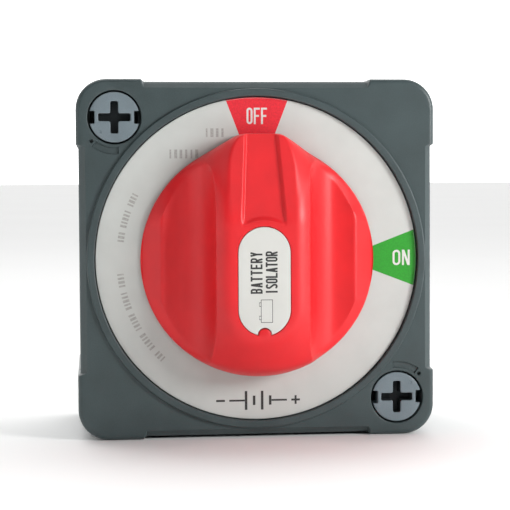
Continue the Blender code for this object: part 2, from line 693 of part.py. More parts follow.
def make_contacts():
    """The copper bridge, its spring and the two terminal studs."""
    low = CONTACT_HEIGHT + GAP
    high = low + BRIDGE_THICKNESS
    bridge = prism("contact_bridge", stadium(BRIDGE_LENGTH, BRIDGE_WIDTH), low, high, BARE_COPPER)
    hole = LOWER_DRIVE_SIZE + 2 * GAP
    cut(bridge, box("bridge_hole", (hole, hole, 4 * BRIDGE_THICKNESS), (0.0, 0.0, low)))
    smooth(bridge)
    make_contact_spring(high, CAM_LOW)
    for label, sign in [("left", -1), ("right", 1)]:
        at = (sign * STUD_X, 0.0)
        under_head = CUP_FLOOR_HIGH + GAP
        profile = [(0.0, CONTACT_HEIGHT), (STUD_HEAD_RADIUS, CONTACT_HEIGHT), (STUD_HEAD_RADIUS, under_head),
                   (STUD_RADIUS, under_head), (STUD_RADIUS, STUD_END + MM), (STUD_RADIUS - MM, STUD_END),
                   (0.0, STUD_END)]
        turned("terminal_stud_" + label, profile, TINNED_COPPER, at=at, steps=32)


def make_contact_spring(low, high):
    """The helical spring round the rotor's lower drive."""
    wire, mean_radius, turns, per_turn = 0.65 * MM, 8.2 * MM, 3.5, 14
    first = low + GAP + wire
    last = high - GAP - wire
    count = int(turns * per_turn) + 1
    curve = bpy.data.curves.new("contact_spring", "CURVE")
    curve.dimensions = "3D"
    curve.bevel_depth = wire
    curve.bevel_resolution = 2
    curve.use_fill_caps = True
    spline = curve.splines.new("POLY")
    spline.points.add(count - 1)
    for i, point in enumerate(spline.points):
        angle = 2 * math.pi * i / per_turn
        height = first + (last - first) * i / (count - 1)
        point.co = (mean_radius * math.cos(angle), mean_radius * math.sin(angle), height, 1.0)
    smooth(place("contact_spring", curve_mesh("contact_spring", curve), SPRING_STEEL))


def make_terminal_hardware():
    """A flat washer, a spring washer and a hexagon nut on each terminal stud."""
    for label, sign in [("left", -1), ("right", 1)]:
        at = (sign * STUD_X, 0.0)
        bore = STUD_RADIUS + 0.4 * MM
        flat_high = CUP_FLOOR_LOW - GAP
        flat_low = flat_high - 1.5 * MM
        washer = [(bore, flat_high), (10.5 * MM, flat_high), (10.5 * MM, flat_low), (bore, flat_low)]
        turned("flat_washer_" + label, washer, STAINLESS, closed=True, at=at, steps=32)
        high = flat_low - GAP
        low = NUT_HIGH + GAP
        spring = [(bore, high), (8.4 * MM, high), (8.4 * MM, low), (bore, low)]
        split_ring = turned("spring_washer_" + label, spring, STAINLESS, closed=True, at=at, steps=32)
        split = box("washer_split_" + label, (5.0 * MM, 1.0 * MM, 8.0 * MM), (0.0, 0.0, 0.0))
        split.data.transform(Matrix.Rotation(math.radians(25.0), 4, "X"))
        split.location = (at[0] + sign * 7.0 * MM, 0.0, (low + high) / 2)
        cut(split_ring, split)
        nut_radius = NUT_ACROSS_FLATS / math.sqrt(3)
        nut = cylinder("terminal_nut_" + label, nut_radius, NUT_LOW, NUT_HIGH, STAINLESS, at=at, segments=6)
        cut(nut, cylinder("nut_bore_" + label, bore, NUT_LOW - MM, NUT_HIGH + MM, at=at, segments=24))


def make_fasteners():
    """Two quarter-turn fasteners that lock the front to the base, each with an O-ring."""
    for label, signs in CORNERS.items():
        at = corner_point(signs)
        profile = [(0.0, FASTENER_TOP), (FASTENER_RADIUS - 0.4 * MM, FASTENER_TOP),
                   (FASTENER_RADIUS, FASTENER_TOP - 0.4 * MM), (FASTENER_RADIUS, FASTENER_HEAD_LOW),
                   (FASTENER_SHANK, FASTENER_HEAD_LOW), (FASTENER_SHANK, FASTENER_TIP), (0.0, FASTENER_TIP)]
        fastener = turned("quarter_turn_fastener_" + label, profile, FASTENER_GREY, at=at, steps=32)
        lug_size = (2 * LUG_HALF, LUG_WIDTH, LUG_HIGH - LUG_LOW)
        lug_centre = (at[0], at[1], (LUG_LOW + LUG_HIGH) / 2)
        join(fastener, box("lug_" + label, lug_size, lug_centre))
        top = (at[0], at[1], FASTENER_TOP)
        arms = [("a", (CROSS_LENGTH, CROSS_WIDTH)), ("b", (CROSS_WIDTH, CROSS_LENGTH))]
        for arm, (width, height) in arms:
            cut(fastener, box("cross_" + arm + "_" + label, (width, height, 2 * CROSS_DEPTH), top))
        for way in (-1, 1):
            notch = box("notch_" + label + str(way), (2 * 1.7 * MM, 3.8 * MM, 2 * 1.8 * MM),
                        (at[0] + way * FASTENER_RADIUS, at[1], FASTENER_TOP))
            cut(fastener, notch)
        ring = ring_section(6.35 * MM, 0.7 * MM, FASTENER_SEAT + GAP + 0.7 * MM)
        turned("fastener_o_ring_" + label, ring, SEAL_RUBBER, closed=True, at=at, steps=20)


def make_seals():
    """The shaft's O-ring and the larger one between the contact housing and the cover."""
    shaft = ring_section(10.25 * MM, 0.9 * MM, 50.6 * MM)
    turned("shaft_seal", shaft, SEAL_RUBBER, closed=True, steps=24)
    housing = ring_section(31.0 * MM, 0.85 * MM, 50.8 * MM)
    turned("housing_seal", housing, SEAL_RUBBER, closed=True, steps=32)


def make_housing_screws():
    """Four screws that pull the contact housing against the cover from behind."""
    for side, degrees in SIDES.items():
        at = arc((0.0, 0.0), EAR_DISTANCE, degrees, degrees, 1)[0]
        head_high = EAR_LOW - GAP
        head_low = head_high - 2.3 * MM
        tip = 50.0 * MM
        profile = [(0.0, tip), (1.0 * MM, tip), (1.6 * MM, tip - MM), (1.6 * MM, head_high),
                   (3.2 * MM, head_high), (3.2 * MM, head_low + 0.8 * MM), (2.3 * MM, head_low),
                   (0.0, head_low)]
        screw = turned("housing_screw_" + side, profile, STAINLESS, at=at, steps=16)
        for arm, (width, height) in [("a", (3.6 * MM, 0.9 * MM)), ("b", (0.9 * MM, 3.6 * MM))]:
            slot = box("housing_slot_" + arm + "_" + side, (width, height, 2.4 * MM), (*at, head_low))
            cut(screw, slot)


def main():
    """Build every part of the switch."""
    make_base_frame()
    make_side_plates()
    make_front_cover()
    make_dial_plate()
    make_knob()
    make_knob_insert()
    make_knob_fixing()
    make_rotor()
    make_detent_springs()
    make_contact_housing()
    make_contacts()
    make_terminal_hardware()
    make_fasteners()
    make_seals()
    make_housing_screws()


main()
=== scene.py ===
"""The looks of the battery switch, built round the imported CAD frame.

Shapes are worked out in millimetres in a face frame: X to the right, Y up the face and Z
forward, out of the face, with every height measured from the rear mounting plane.
"""

import math

import bmesh
import bpy
from mathutils import Matrix, Vector
from mathutils.geometry import delaunay_2d_cdt


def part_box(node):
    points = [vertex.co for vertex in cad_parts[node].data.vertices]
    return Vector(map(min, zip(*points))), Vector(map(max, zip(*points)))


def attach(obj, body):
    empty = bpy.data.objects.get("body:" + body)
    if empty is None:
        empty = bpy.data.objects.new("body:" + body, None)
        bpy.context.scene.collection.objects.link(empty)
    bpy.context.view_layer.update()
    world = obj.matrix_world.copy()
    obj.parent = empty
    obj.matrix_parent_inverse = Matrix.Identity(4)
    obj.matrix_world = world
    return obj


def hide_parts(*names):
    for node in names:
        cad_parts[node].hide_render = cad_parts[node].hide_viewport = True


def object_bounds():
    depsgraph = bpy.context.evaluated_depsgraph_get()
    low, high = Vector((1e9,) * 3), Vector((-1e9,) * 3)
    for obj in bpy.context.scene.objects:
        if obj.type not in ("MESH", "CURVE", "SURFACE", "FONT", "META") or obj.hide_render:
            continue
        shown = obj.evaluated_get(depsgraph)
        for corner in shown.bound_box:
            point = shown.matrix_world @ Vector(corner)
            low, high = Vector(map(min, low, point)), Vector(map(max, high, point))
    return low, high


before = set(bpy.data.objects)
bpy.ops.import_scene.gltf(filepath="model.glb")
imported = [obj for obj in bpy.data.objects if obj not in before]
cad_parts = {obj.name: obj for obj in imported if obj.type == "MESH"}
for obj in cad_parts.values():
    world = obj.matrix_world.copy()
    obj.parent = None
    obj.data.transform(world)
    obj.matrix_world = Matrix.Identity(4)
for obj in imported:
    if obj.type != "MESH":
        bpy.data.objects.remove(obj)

CAD_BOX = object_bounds()
MM = 0.001
TO_WORLD = Matrix.Rotation(math.radians(90.0), 4, "X") @ Matrix.Scale(MM, 4)
CORNERS = {"top_left": (-1, 1), "bottom_right": (1, -1)}
SIDES = {"right": 0.0, "top": 90.0, "left": 180.0, "bottom": 270.0}


def face_box(node):
    """A CAD node's lowest and highest corners in the face frame, in millimetres."""
    low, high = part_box(node)
    return Vector((low.x, low.z, -high.y)) / MM, Vector((high.x, high.z, -low.y)) / MM


# Places read from the frame
COVER_LOW, COVER_HIGH = face_box("front_cover")
DIAL_LOW, DIAL_HIGH = face_box("dial_plate")
KNOB_LOW, KNOB_HIGH = face_box("knob")
INSERT_LOW, INSERT_HIGH = face_box("knob_insert")
HALF = COVER_HIGH.x
RING_CREST = COVER_HIGH.z
DIAL_TOP = DIAL_HIGH.z
DIAL_RADIUS = DIAL_HIGH.x

# Front cover
FACE = RING_CREST - 1.0
CORNER_RADIUS = 9.0
CORNER_EDGE = 1.5
RECESS_HALF = 33.0
RECESS_RAMP = 0.9
RECESS_DEPTH = 0.7
SIDE_CHAMFER = 2.0
COVER_INSIDE = HALF - 2.8
COVER_UNDERSIDE = 52.0
RING_OUTER = 50.2
RING_INNER = 47.9
SHAFT_HOLE = 9.3
WELL_RADIUS = 7.85
WELL_FLOOR = 48.0
BOSS_RADIUS = 9.4
EAR_DISTANCE = 38.0

# Knob, with heights above the dial
KNOB_RADIUS = KNOB_HIGH.x
POINTER_TIP = KNOB_HIGH.y
POINTER_HALF = 5.9
CAP = KNOB_HIGH.z - DIAL_TOP
EDGE_HEIGHT = 1.6
TIP_HEIGHT = 10.6
CHANNEL_HALF = 6.6
CHANNEL_TAPER = 0.062
CHANNEL_DEPTH = 0.7
CHANNEL_SLOPE = math.tan(math.radians(16.0))
CHANNEL_MARGIN = 1.8
CAP_END_Y = 13.0
GRIP_EDGE = 10.7
GRIP_END_Y = -12.6
FLANK_SLOPE = 0.79
WALL_X = 13.5
WALL_TOP = 16.8
TROUGH_X = 23.6
TROUGH_FLOOR = 3.3
RIM_RADIUS = 31.0
RIM_HEIGHT = 5.8
RIM_END_WIDTH = 2.3

# Insert
INSERT_HALF = INSERT_HIGH.x
INSERT_TOP_Y = INSERT_HIGH.y
INSERT_BOTTOM_Y = INSERT_LOW.y
PRY_NOTCH = 2.0
SEAT_GAP = 0.15

# Numbers of steps round an outline
DIAL_STEPS = 360
KNOB_STEPS = 420
ROUND_STEPS = 96
STUD_STEPS = 48

# Hub of the knob, heights in the face frame
HUB_WEB_LOW = 63.6
HUB_WEB_HIGH = 66.0
SCREW_WELL_RADIUS = 5.6

# Quarter-turn fasteners
HEAD_UNDERSIDE = 50.0
SHANK_RADIUS = 4.6
LUG_REACH = 6.6
LUG_WIDTH = 4.0
LUG_HIGH = 40.0
LUG_LOW = 36.6
CROSS_ARM = 4.7
CROSS_HALF = 1.13
CROSS_DEPTH = 4.4

# Terminals
THREAD_RADIUS = 4.9
THREAD_DEPTH = 0.75
THREAD_PITCH = 1.5
THREAD_TOP = 29.0
CLEAR_RADIUS = 5.3

# Studio: shares of the surround's light, and the camera in metres and degrees
FRONT_LEVEL = 0.05
BACK_LEVEL = 2.1
LEFT_SHARE = 0.40
CAMERA_LENS = 108.29
CAMERA_PLACE = (-0.048, -(DIAL_TOP * MM + 0.450), 0.0234)
CAMERA_TILT = {"X": -2.83, "Y": -5.99, "Z": -0.58}


# ---------------- small maths


def mix(a, b, t):
    """The value a share t of the way from a to b."""
    return a + (b - a) * t


def smoothstep(start, end, value):
    """A smooth rise from 0 to 1 between two values, which may run downwards."""
    t = min(1.0, max(0.0, (value - start) / (end - start)))
    return t * t * (3.0 - 2.0 * t)


def soft_min(a, b, width):
    """The smaller of two heights, with the crease between them rounded."""
    overlap = max(width - abs(a - b), 0.0) / width
    return min(a, b) - overlap * overlap * width / 4.0


def soft_max(a, b, width):
    """The larger of two heights, with the crease between them rounded."""
    return -soft_min(-a, -b, width)


def arc(centre, radius, start, end, steps):
    """Points along an arc, angles in degrees, both ends included."""
    angles = [math.radians(mix(start, end, i / steps)) for i in range(steps + 1)]
    return [(centre[0] + radius * math.cos(a), centre[1] + radius * math.sin(a)) for a in angles]


def circle(centre, radius, count):
    """Points round a circle, counter-clockwise."""
    return arc(centre, radius, 0.0, 360.0 - 360.0 / count, count - 1)


def lift(outline, height):
    """Flat points as points in space at one height."""
    return [(x, y, height) for x, y in outline]


def polar_ring(centre, reaches, height):
    """Points round a centre at one height, at the distances given."""
    angles = [2.0 * math.pi * i / len(reaches) for i in range(len(reaches))]
    return [(centre[0] + r * math.cos(a), centre[1] + r * math.sin(a), height)
            for r, a in zip(reaches, angles)]


def counter_clockwise(points):
    """Flat points in counter-clockwise order."""
    area = sum(a[0] * b[1] - b[0] * a[1] for a, b in zip(points, [*points[1:], points[0]]))
    return points if area > 0.0 else points[::-1]


def turned_about(points, degrees, centre=(0.0, 0.0)):
    """Flat points turned about a centre."""
    turn = Matrix.Rotation(math.radians(degrees), 2)
    middle = Vector(centre)
    return [tuple(turn @ (Vector(p) - middle) + middle) for p in points]


# ---------------- mesh building


def loop(bm, points):
    """Add a ring of vertices."""
    return [bm.verts.new(p) for p in points]


def bridge(bm, lower, upper, material=0):
    """Skin the band between two rings with equal vertex counts."""
    count = len(lower)
    for i in range(count):
        j = (i + 1) % count
        face = bm.faces.new((lower[i], lower[j], upper[j], upper[i]))
        face.material_index = material(i) if callable(material) else material


def chain(bm, ring, steps, material=0):
    """Skin from a ring of vertices through rings of points, and return the last ring."""
    for points in steps:
        following = loop(bm, points)
        bridge(bm, ring, following, material)
        ring = following
    return ring


def round_chain(bm, ring, centre, profile, material=0):
    """Skin from a ring through circles of (radius, height) round a centre."""
    count = len(ring)
    return chain(bm, ring, [lift(circle(centre, r, count), h) for r, h in profile], material)


def fill(bm, outer, holes=(), inlays=(), points=(), height=None, base=0):
    """Triangulate the area inside a ring of vertices and outside its holes.

    Inlays are (outline, material index) pairs that colour the faces inside them, later ones
    on top, over the base material. New vertices take their height from a function of x and y,
    or from the ring.
    """
    level = outer[0].co.z
    places, owners, edges, faces = [], [], [], []
    for ring in (outer, *holes):
        first = len(places)
        places += [Vector(v.co.xy) for v in ring]
        owners += ring
        faces.append(list(range(first, len(places))))
    for outline, _ in inlays:
        first = len(places)
        places += [Vector(p) for p in counter_clockwise(outline)]
        faces.append(list(range(first, len(places))))
    places += [Vector(p) for p in points]
    made, _, triangles, sources, _, inside = delaunay_2d_cdt(places, edges, faces, 1, 1e-5)
    verts = []
    for place, source in zip(made, sources):
        known = [i for i in source if i < len(owners)]
        if known:
            verts.append(owners[known[0]])
        else:
            z = height(place.x, place.y) if height else level
            verts.append(bm.verts.new((place.x, place.y, z)))
    first_inlay = 1 + len(holes)
    for triangle, zones in zip(triangles, inside):
        if any(1 <= zone < first_inlay for zone in zones):
            continue
        face = bm.faces.new([verts[i] for i in triangle])
        top = max(zones) if zones else 0
        face.material_index = inlays[top - first_inlay][1] if top >= first_inlay else base


def make_piece(name, bm, materials, body, replaced=(), sharp=32.0, weighted=True):
    """Turn a bmesh in the face frame into a piece that rides on a CAD body."""
    loose = [v for v in bm.verts if not v.link_faces]
    bmesh.ops.delete(bm, geom=loose, context="VERTS")
    bmesh.ops.recalc_face_normals(bm, faces=bm.faces)
    mesh = bpy.data.meshes.new(name)
    bm.to_mesh(mesh)
    bm.free()
    mesh.transform(TO_WORLD)
    mesh.shade_smooth()
    mesh.set_sharp_from_angle(angle=math.radians(sharp))
    for material in materials:
        mesh.materials.append(material)
    obj = bpy.data.objects.new(name, mesh)
    bpy.context.scene.collection.objects.link(obj)
    if weighted:
        normals = obj.modifiers.new("flat_faces", "WEIGHTED_NORMAL")
        normals.keep_sharp = True
        normals.weight = 100
    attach(obj, body)
    if replaced:
        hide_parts(*replaced)
    return obj


# ---------------- materials


def map_range(tree, value, ends):
    """A node that maps one range to another, given as (from, to, low, high)."""
    node = tree.nodes.new("ShaderNodeMapRange")
    for name, end in zip(("From Min", "From Max", "To Min", "To Max"), ends):
        node.inputs[name].default_value = end
    tree.links.new(value, node.inputs["Value"])
    return node


class Nodes:
    """A small helper that adds and links the nodes of one material."""

    def __init__(self, name):
        self.material = bpy.data.materials.new(name)
        self.material.use_nodes = True
        self.tree = self.material.node_tree
        self.shader = self.tree.nodes["Principled BSDF"]
        self.place = self.tree.nodes.new("ShaderNodeTexCoord").outputs["Object"]

    def link(self, source, target):
        """Link one socket to another."""
        self.tree.links.new(source, target)

    def feed(self, name, source):
        """Link a socket to one input of the shader."""
        self.link(source, self.shader.inputs[name])

    def noise(self, grain, detail=2.0, roughness=0.5, stretch=None):
        """Noise whose features measure about a grain in millimetres."""
        node = self.tree.nodes.new("ShaderNodeTexNoise")
        node.inputs["Scale"].default_value = 1.0 / (grain * MM)
        node.inputs["Detail"].default_value = detail
        node.inputs["Roughness"].default_value = roughness
        place = self.place
        if stretch:
            mapping = self.tree.nodes.new("ShaderNodeMapping")
            mapping.inputs["Scale"].default_value = stretch
            self.link(place, mapping.inputs["Vector"])
            place = mapping.outputs["Vector"]
        self.link(place, node.inputs["Vector"])
        return node.outputs["Fac"]

    def ramp(self, factor, stops):
        """Colours along a factor, as (position, colour) stops."""
        node = self.tree.nodes.new("ShaderNodeValToRGB")
        elements = node.color_ramp.elements
        while len(elements) < len(stops):
            elements.new(0.5)
        for element, (position, color) in zip(elements, stops):
            element.position = position
            element.color = (*color, 1.0)
        self.link(factor, node.inputs["Fac"])
        return node.outputs["Color"]

    def rescale(self, factor, low, high, start=0.3, end=0.7):
        """A factor mapped from one range to another."""
        return map_range(self.tree, factor, (start, end, low, high)).outputs["Result"]

    def blend(self, factor, a, b, mode="MIX"):
        """Two colours mixed by a factor."""
        node = self.tree.nodes.new("ShaderNodeMix")
        node.data_type = "RGBA"
        node.blend_type = mode
        self.link(factor, node.inputs["Factor"])
        self.link(a, node.inputs["A"])
        self.link(b, node.inputs["B"])
        return node.outputs["Result"]

    def bump(self, factor, depth, under=None):
        """A bump of a depth in millimetres, on top of another bump."""
        node = self.tree.nodes.new("ShaderNodeBump")
        node.inputs["Distance"].default_value = depth * MM
        self.link(factor, node.inputs["Height"])
        if under is not None:
            self.link(under, node.inputs["Normal"])
        return node.outputs["Normal"]


def shade(color, factor):
    """A colour made lighter or darker."""
    return tuple(min(1.0, c * factor) for c in color)


def plastic(name, color, roughness, grain=0.22, depth=0.006, variation=0.10, specks=0.0, subsurface=0.0):
    """Moulded plastic: cloudy colour, a fine spark-eroded grain and a few lighter specks."""
    n = Nodes(name)
    clouds = n.noise(9.0, detail=3.0)
    fine = n.noise(grain, detail=3.0, roughness=0.6)
    base = n.ramp(clouds, [(0.3, shade(color, 1.0 - variation)), (0.5, color),
                           (0.7, shade(color, 1.0 + variation))])
    fleck = n.ramp(n.noise(grain * 1.6, detail=1.0),
                   [(0.35, (0.5 - specks,) * 3), (0.65, (0.5 + specks,) * 3)])
    mixed = n.blend(n.rescale(fine, 0.25, 0.75), base, fleck, "OVERLAY") if specks else base
    n.feed("Base Color", mixed)
    n.feed("Roughness", n.rescale(fine, roughness * 0.86, roughness * 1.14))
    waves = n.bump(n.noise(4.0, detail=1.0), depth * 2.0)
    n.feed("Normal", n.bump(fine, depth, waves))
    if subsurface:
        n.shader.inputs["Subsurface Weight"].default_value = subsurface
        n.shader.inputs["Subsurface Radius"].default_value = (1.0, 0.25, 0.2)
        n.shader.inputs["Subsurface Scale"].default_value = 1.2 * MM
    return n.material


def metal(name, color, roughness, grain=0.12, depth=0.003, stretch=(1.0, 1.0, 12.0), tarnish=0.12):
    """Machined metal: fine drawn lines, patches of tarnish and uneven polish."""
    n = Nodes(name)
    lines = n.noise(grain, detail=2.0, stretch=stretch)
    patches = n.noise(5.0, detail=4.0, roughness=0.65)
    base = n.ramp(patches, [(0.3, shade(color, 1.0 - tarnish)), (0.6, color), (0.8, shade(color, 1.08))])
    n.feed("Base Color", base)
    n.shader.inputs["Metallic"].default_value = 1.0
    n.feed("Roughness", n.rescale(patches, roughness * 0.8, roughness * 1.3))
    n.feed("Normal", n.bump(lines, depth))
    return n.material


def rubber(name, color):
    """Matt black rubber with a powdery grain."""
    n = Nodes(name)
    fine = n.noise(0.15, detail=3.0)
    n.feed("Base Color", n.ramp(fine, [(0.3, shade(color, 0.8)), (0.7, shade(color, 1.4))]))
    n.feed("Roughness", n.rescale(fine, 0.65, 0.85))
    n.feed("Normal", n.bump(fine, 0.01))
    return n.material


def ink(name, color, roughness=0.5, fade=0.12):
    """Pad-printed ink, a little uneven where it took less colour."""
    n = Nodes(name)
    uneven = n.noise(0.5, detail=4.0, roughness=0.7)
    n.feed("Base Color", n.ramp(uneven, [(0.35, shade(color, 1.0 - fade)), (0.65, shade(color, 1.0 + fade))]))
    n.feed("Roughness", n.rescale(uneven, roughness * 0.9, roughness * 1.1))
    n.feed("Normal", n.bump(uneven, 0.003))
    return n.material


HOUSING = plastic("housing_plastic", (0.048, 0.070, 0.073), 0.42, grain=0.25, depth=0.010, specks=0.05)
DIAL = plastic("dial_plastic", (0.590, 0.615, 0.590), 0.40, grain=0.18, depth=0.004, variation=0.03)
KNOB = plastic("knob_plastic", (0.800, 0.012, 0.018), 0.42, grain=0.16, depth=0.004, variation=0.05,
               subsurface=0.03)
INSERT = plastic("insert_plastic", (0.690, 0.690, 0.655), 0.38, grain=0.18, depth=0.003, variation=0.02)
FASTENER = plastic("fastener_plastic", (0.170, 0.215, 0.240), 0.40, grain=0.2, variation=0.08, specks=0.04)
# Painted shade: a near-black plastic for the fasteners' deep cross recess, much darker than the fastener
# plastic, standing in for the shade inside it.
PAINTED_RECESS_SHADE = plastic("fastener_recess_painted_shade", (0.018, 0.026, 0.030), 0.7, grain=0.2)
CHAMBER = plastic("chamber_plastic", (0.030, 0.031, 0.033), 0.5, grain=0.25, depth=0.010, variation=0.15)
ROTOR = plastic("rotor_plastic", (0.45, 0.43, 0.38), 0.5, grain=0.2, variation=0.06)
TINNED = metal("tinned_copper", (0.46, 0.44, 0.40), 0.30)
COPPER = metal("bare_copper", (0.62, 0.30, 0.17), 0.28)
STEEL = metal("stainless_steel", (0.42, 0.42, 0.41), 0.28)
SPRING = metal("spring_steel", (0.44, 0.44, 0.45), 0.32)
RUBBER = rubber("seal_rubber", (0.018, 0.018, 0.018))
RED_INK = ink("off_field_red", (0.760, 0.014, 0.030))
GREEN_INK = ink("on_field_green", (0.018, 0.330, 0.016))
WHITE_INK = ink("letter_white", (0.72, 0.71, 0.69), fade=0.05)
FAINT_INK = ink("faint_print_grey", (0.400, 0.405, 0.385), fade=0.18)
DARK_INK = ink("dark_print_grey", (0.030, 0.030, 0.030), fade=0.2)


# ---------------- prints


class Strokes:
    """Letters drawn as strokes of one width, each stroke a closed outline with a material."""

    def __init__(self, width, height, weight, paper, colour):
        self.w, self.h, self.t = width, height, weight / 2
        self.paper, self.colour = paper, colour

    def ribbon(self, points):
        """An open stroke along points, as one outline."""
        return [(offset_line(points, self.t) + offset_line(points, -self.t)[::-1], self.colour)]

    def bar(self, y, end):
        """A level stroke from the left stem to an end."""
        return self.ribbon([(self.t, y), (end, y)])

    def hoop(self, low, high, left, right, square_left=False):
        """A closed round-ended loop between two heights, as an outline with a hole."""
        shapes = []
        for grow, colour in ((self.t, self.colour), (-self.t, self.paper)):
            l, r, b, a = left - grow, right + grow, low - grow, high + grow
            radius = min((r - l) / 2, (a - b) / 2) * (1.0 if not square_left else 0.98)
            right_side = arc((r - radius, b + radius), radius, -90, 0, 8)
            right_side += arc((r - radius, a - radius), radius, 0, 90, 8)
            if square_left:
                left_side = [(l, a), (l, b)]
            else:
                left_side = arc((l + radius, a - radius), radius, 90, 180, 8)
                left_side += arc((l + radius, b + radius), radius, 180, 270, 8)
            shapes.append((without_repeats(right_side + left_side), colour))
        return shapes

    def letter(self, name):
        """The strokes of one letter in a box from 0,0 to width,height."""
        w, h, t = self.w, self.h, self.t
        left, right, low, high, middle = t, w - t, t, h - t, h / 2
        stem = [(left, 0.0), (left, h)]
        if name == "O":
            return self.hoop(low, high, left, right)
        if name in "FEL":
            bars = {"F": [(high, w), (middle, w * 0.88)], "E": [(high, w), (middle, w * 0.88), (low, w)],
                    "L": [(low, w)]}[name]
            return self.ribbon(stem) + [s for y, end in bars for s in self.bar(y, end)]
        if name == "N":
            lean = 1.15 * t
            diagonal = [(0.0, h), (2 * lean, h), (w, 0.0), (w - 2 * lean, 0.0)]
            return self.ribbon(stem) + self.ribbon([(right, 0.0), (right, h)]) + [(diagonal, self.colour)]
        if name == "I":
            return self.ribbon([(w / 2, 0.0), (w / 2, h)])
        if name == "T":
            return self.ribbon([(0.0, high), (w, high)]) + self.ribbon([(w / 2, 0.0), (w / 2, h)])
        if name == "Y":
            fork = [(w / 2, 0.0), (w / 2, middle)]
            arms = [self.ribbon([(w / 2, middle * 0.95), (x, h)]) for x in (left, right)]
            return self.ribbon(fork) + arms[0] + arms[1]
        if name == "A":
            legs = [self.ribbon([(x, 0.0), (w / 2, h - t * 0.4)]) for x in (left, right)]
            return legs[0] + legs[1] + self.ribbon([(w * 0.24, h * 0.27), (w * 0.76, h * 0.27)])
        if name == "B":
            return (self.hoop(low, middle, left, right, True) + self.hoop(middle, high, left, right, True)
                    + self.ribbon(stem) + self.bar(middle, w * 0.7))
        if name == "R":
            leg = [(w * 0.45, middle), (right, 0.0)]
            return self.hoop(middle, high, left, right, True) + self.ribbon(stem) + self.ribbon(leg)
        radius = (right - left) / 2
        centre = w / 2
        upper = arc((centre, high - radius), radius, 10, 180, 12)
        lower = arc((centre, low + radius), radius, 0, -170, 12)
        slant = [(left, high - radius - 0.12 * h), (right, low + radius + 0.12 * h)]
        return self.ribbon(upper + slant + lower)

    def word(self, text, centre, spacing, degrees=0.0):
        """A word's strokes, centred on a point and turned about it."""
        total = len(text) * self.w + (len(text) - 1) * spacing
        shapes = []
        for i, name in enumerate(text):
            dx = centre[0] - total / 2 + i * (self.w + spacing)
            dy = centre[1] - self.h / 2
            for outline, colour in self.letter(name):
                moved = [(x + dx, y + dy) for x, y in outline]
                shapes.append((turned_about(moved, degrees, centre), colour))
        return shapes


def offset_line(points, distance):
    """Shift an open line sideways by a distance, with mitred corners."""
    shifted = []
    for i, point in enumerate(points):
        here = Vector(point)
        before = (here - Vector(points[i - 1])).normalized() if i else None
        after = (Vector(points[i + 1]) - here).normalized() if i + 1 < len(points) else None
        way = ((before or after) + (after or before)).normalized()
        stretch = max(0.4, way.dot(after or before))
        shifted.append((here.x - way.y * distance / stretch, here.y + way.x * distance / stretch))
    return shifted


def without_repeats(points, least=0.005):
    """A closed outline without points that fall on their neighbour."""
    kept = []
    for point in points:
        if not kept or (Vector(point) - Vector(kept[-1])).length > least:
            kept.append(point)
    if (Vector(kept[0]) - Vector(kept[-1])).length < least:
        kept.pop()
    return kept


def bar_outline(centre, length, width, degrees=0.0):
    """A rectangle round a centre."""
    l, w = length / 2, width / 2
    corners = [(centre[0] + sx * l, centre[1] + sy * w) for sx, sy in ((-1, -1), (1, -1), (1, 1), (-1, 1))]
    return turned_about(corners, degrees, centre)


# ---------------- front cover


def housing_ring(corner_inset, side_inset, height, half=HALF):
    """The housing's outline at one height: round corners and a shallow recess in each side."""
    inner = half - CORNER_RADIUS
    corner = arc((inner, inner), CORNER_RADIUS - corner_inset, 0.0, 90.0, 18)
    edge, recess = half - corner_inset, half - RECESS_DEPTH - side_inset
    ramp = []
    for i in range(5):
        t = i / 4
        ramp.append((mix(recess, edge, smoothstep(0.0, 1.0, t)), RECESS_HALF + t * RECESS_RAMP))
    flat = [(recess, RECESS_HALF * (i / 6 - 1)) for i in range(1, 12)]
    side = [(x, -y) for x, y in reversed(ramp)] + flat + ramp
    quarter = side + corner
    outline = []
    for k in range(4):
        outline += turned_about(quarter, 90.0 * k)
    return lift(outline, height)


def rounded_square(half, radius, steps=8):
    """A square with round corners, counter-clockwise."""
    inner = half - radius
    points = []
    for k, (sx, sy) in enumerate([(1, 1), (-1, 1), (-1, -1), (1, -1)]):
        points += arc((sx * inner, sy * inner), radius, 90.0 * k, 90.0 * k + 90.0, steps)
    return points


def quarter_round(radius, height, steps=6):
    """(inset, height) steps of a rounded front edge that ends at a height."""
    angles = [math.pi / 2 * i / steps for i in range(steps + 1)]
    return [(radius * (1.0 - math.cos(a)), height - radius + radius * math.sin(a)) for a in angles]


def side_inset(height):
    """How far the chamfered middle of a side stands back at a height."""
    ease = 0.5
    start = FACE - SIDE_CHAMFER
    if height <= start - ease:
        return 0.0
    lead = ease / 4 if height < start else 0.0
    return max(0.0, soft_max(0.0, height - start, ease) - lead)


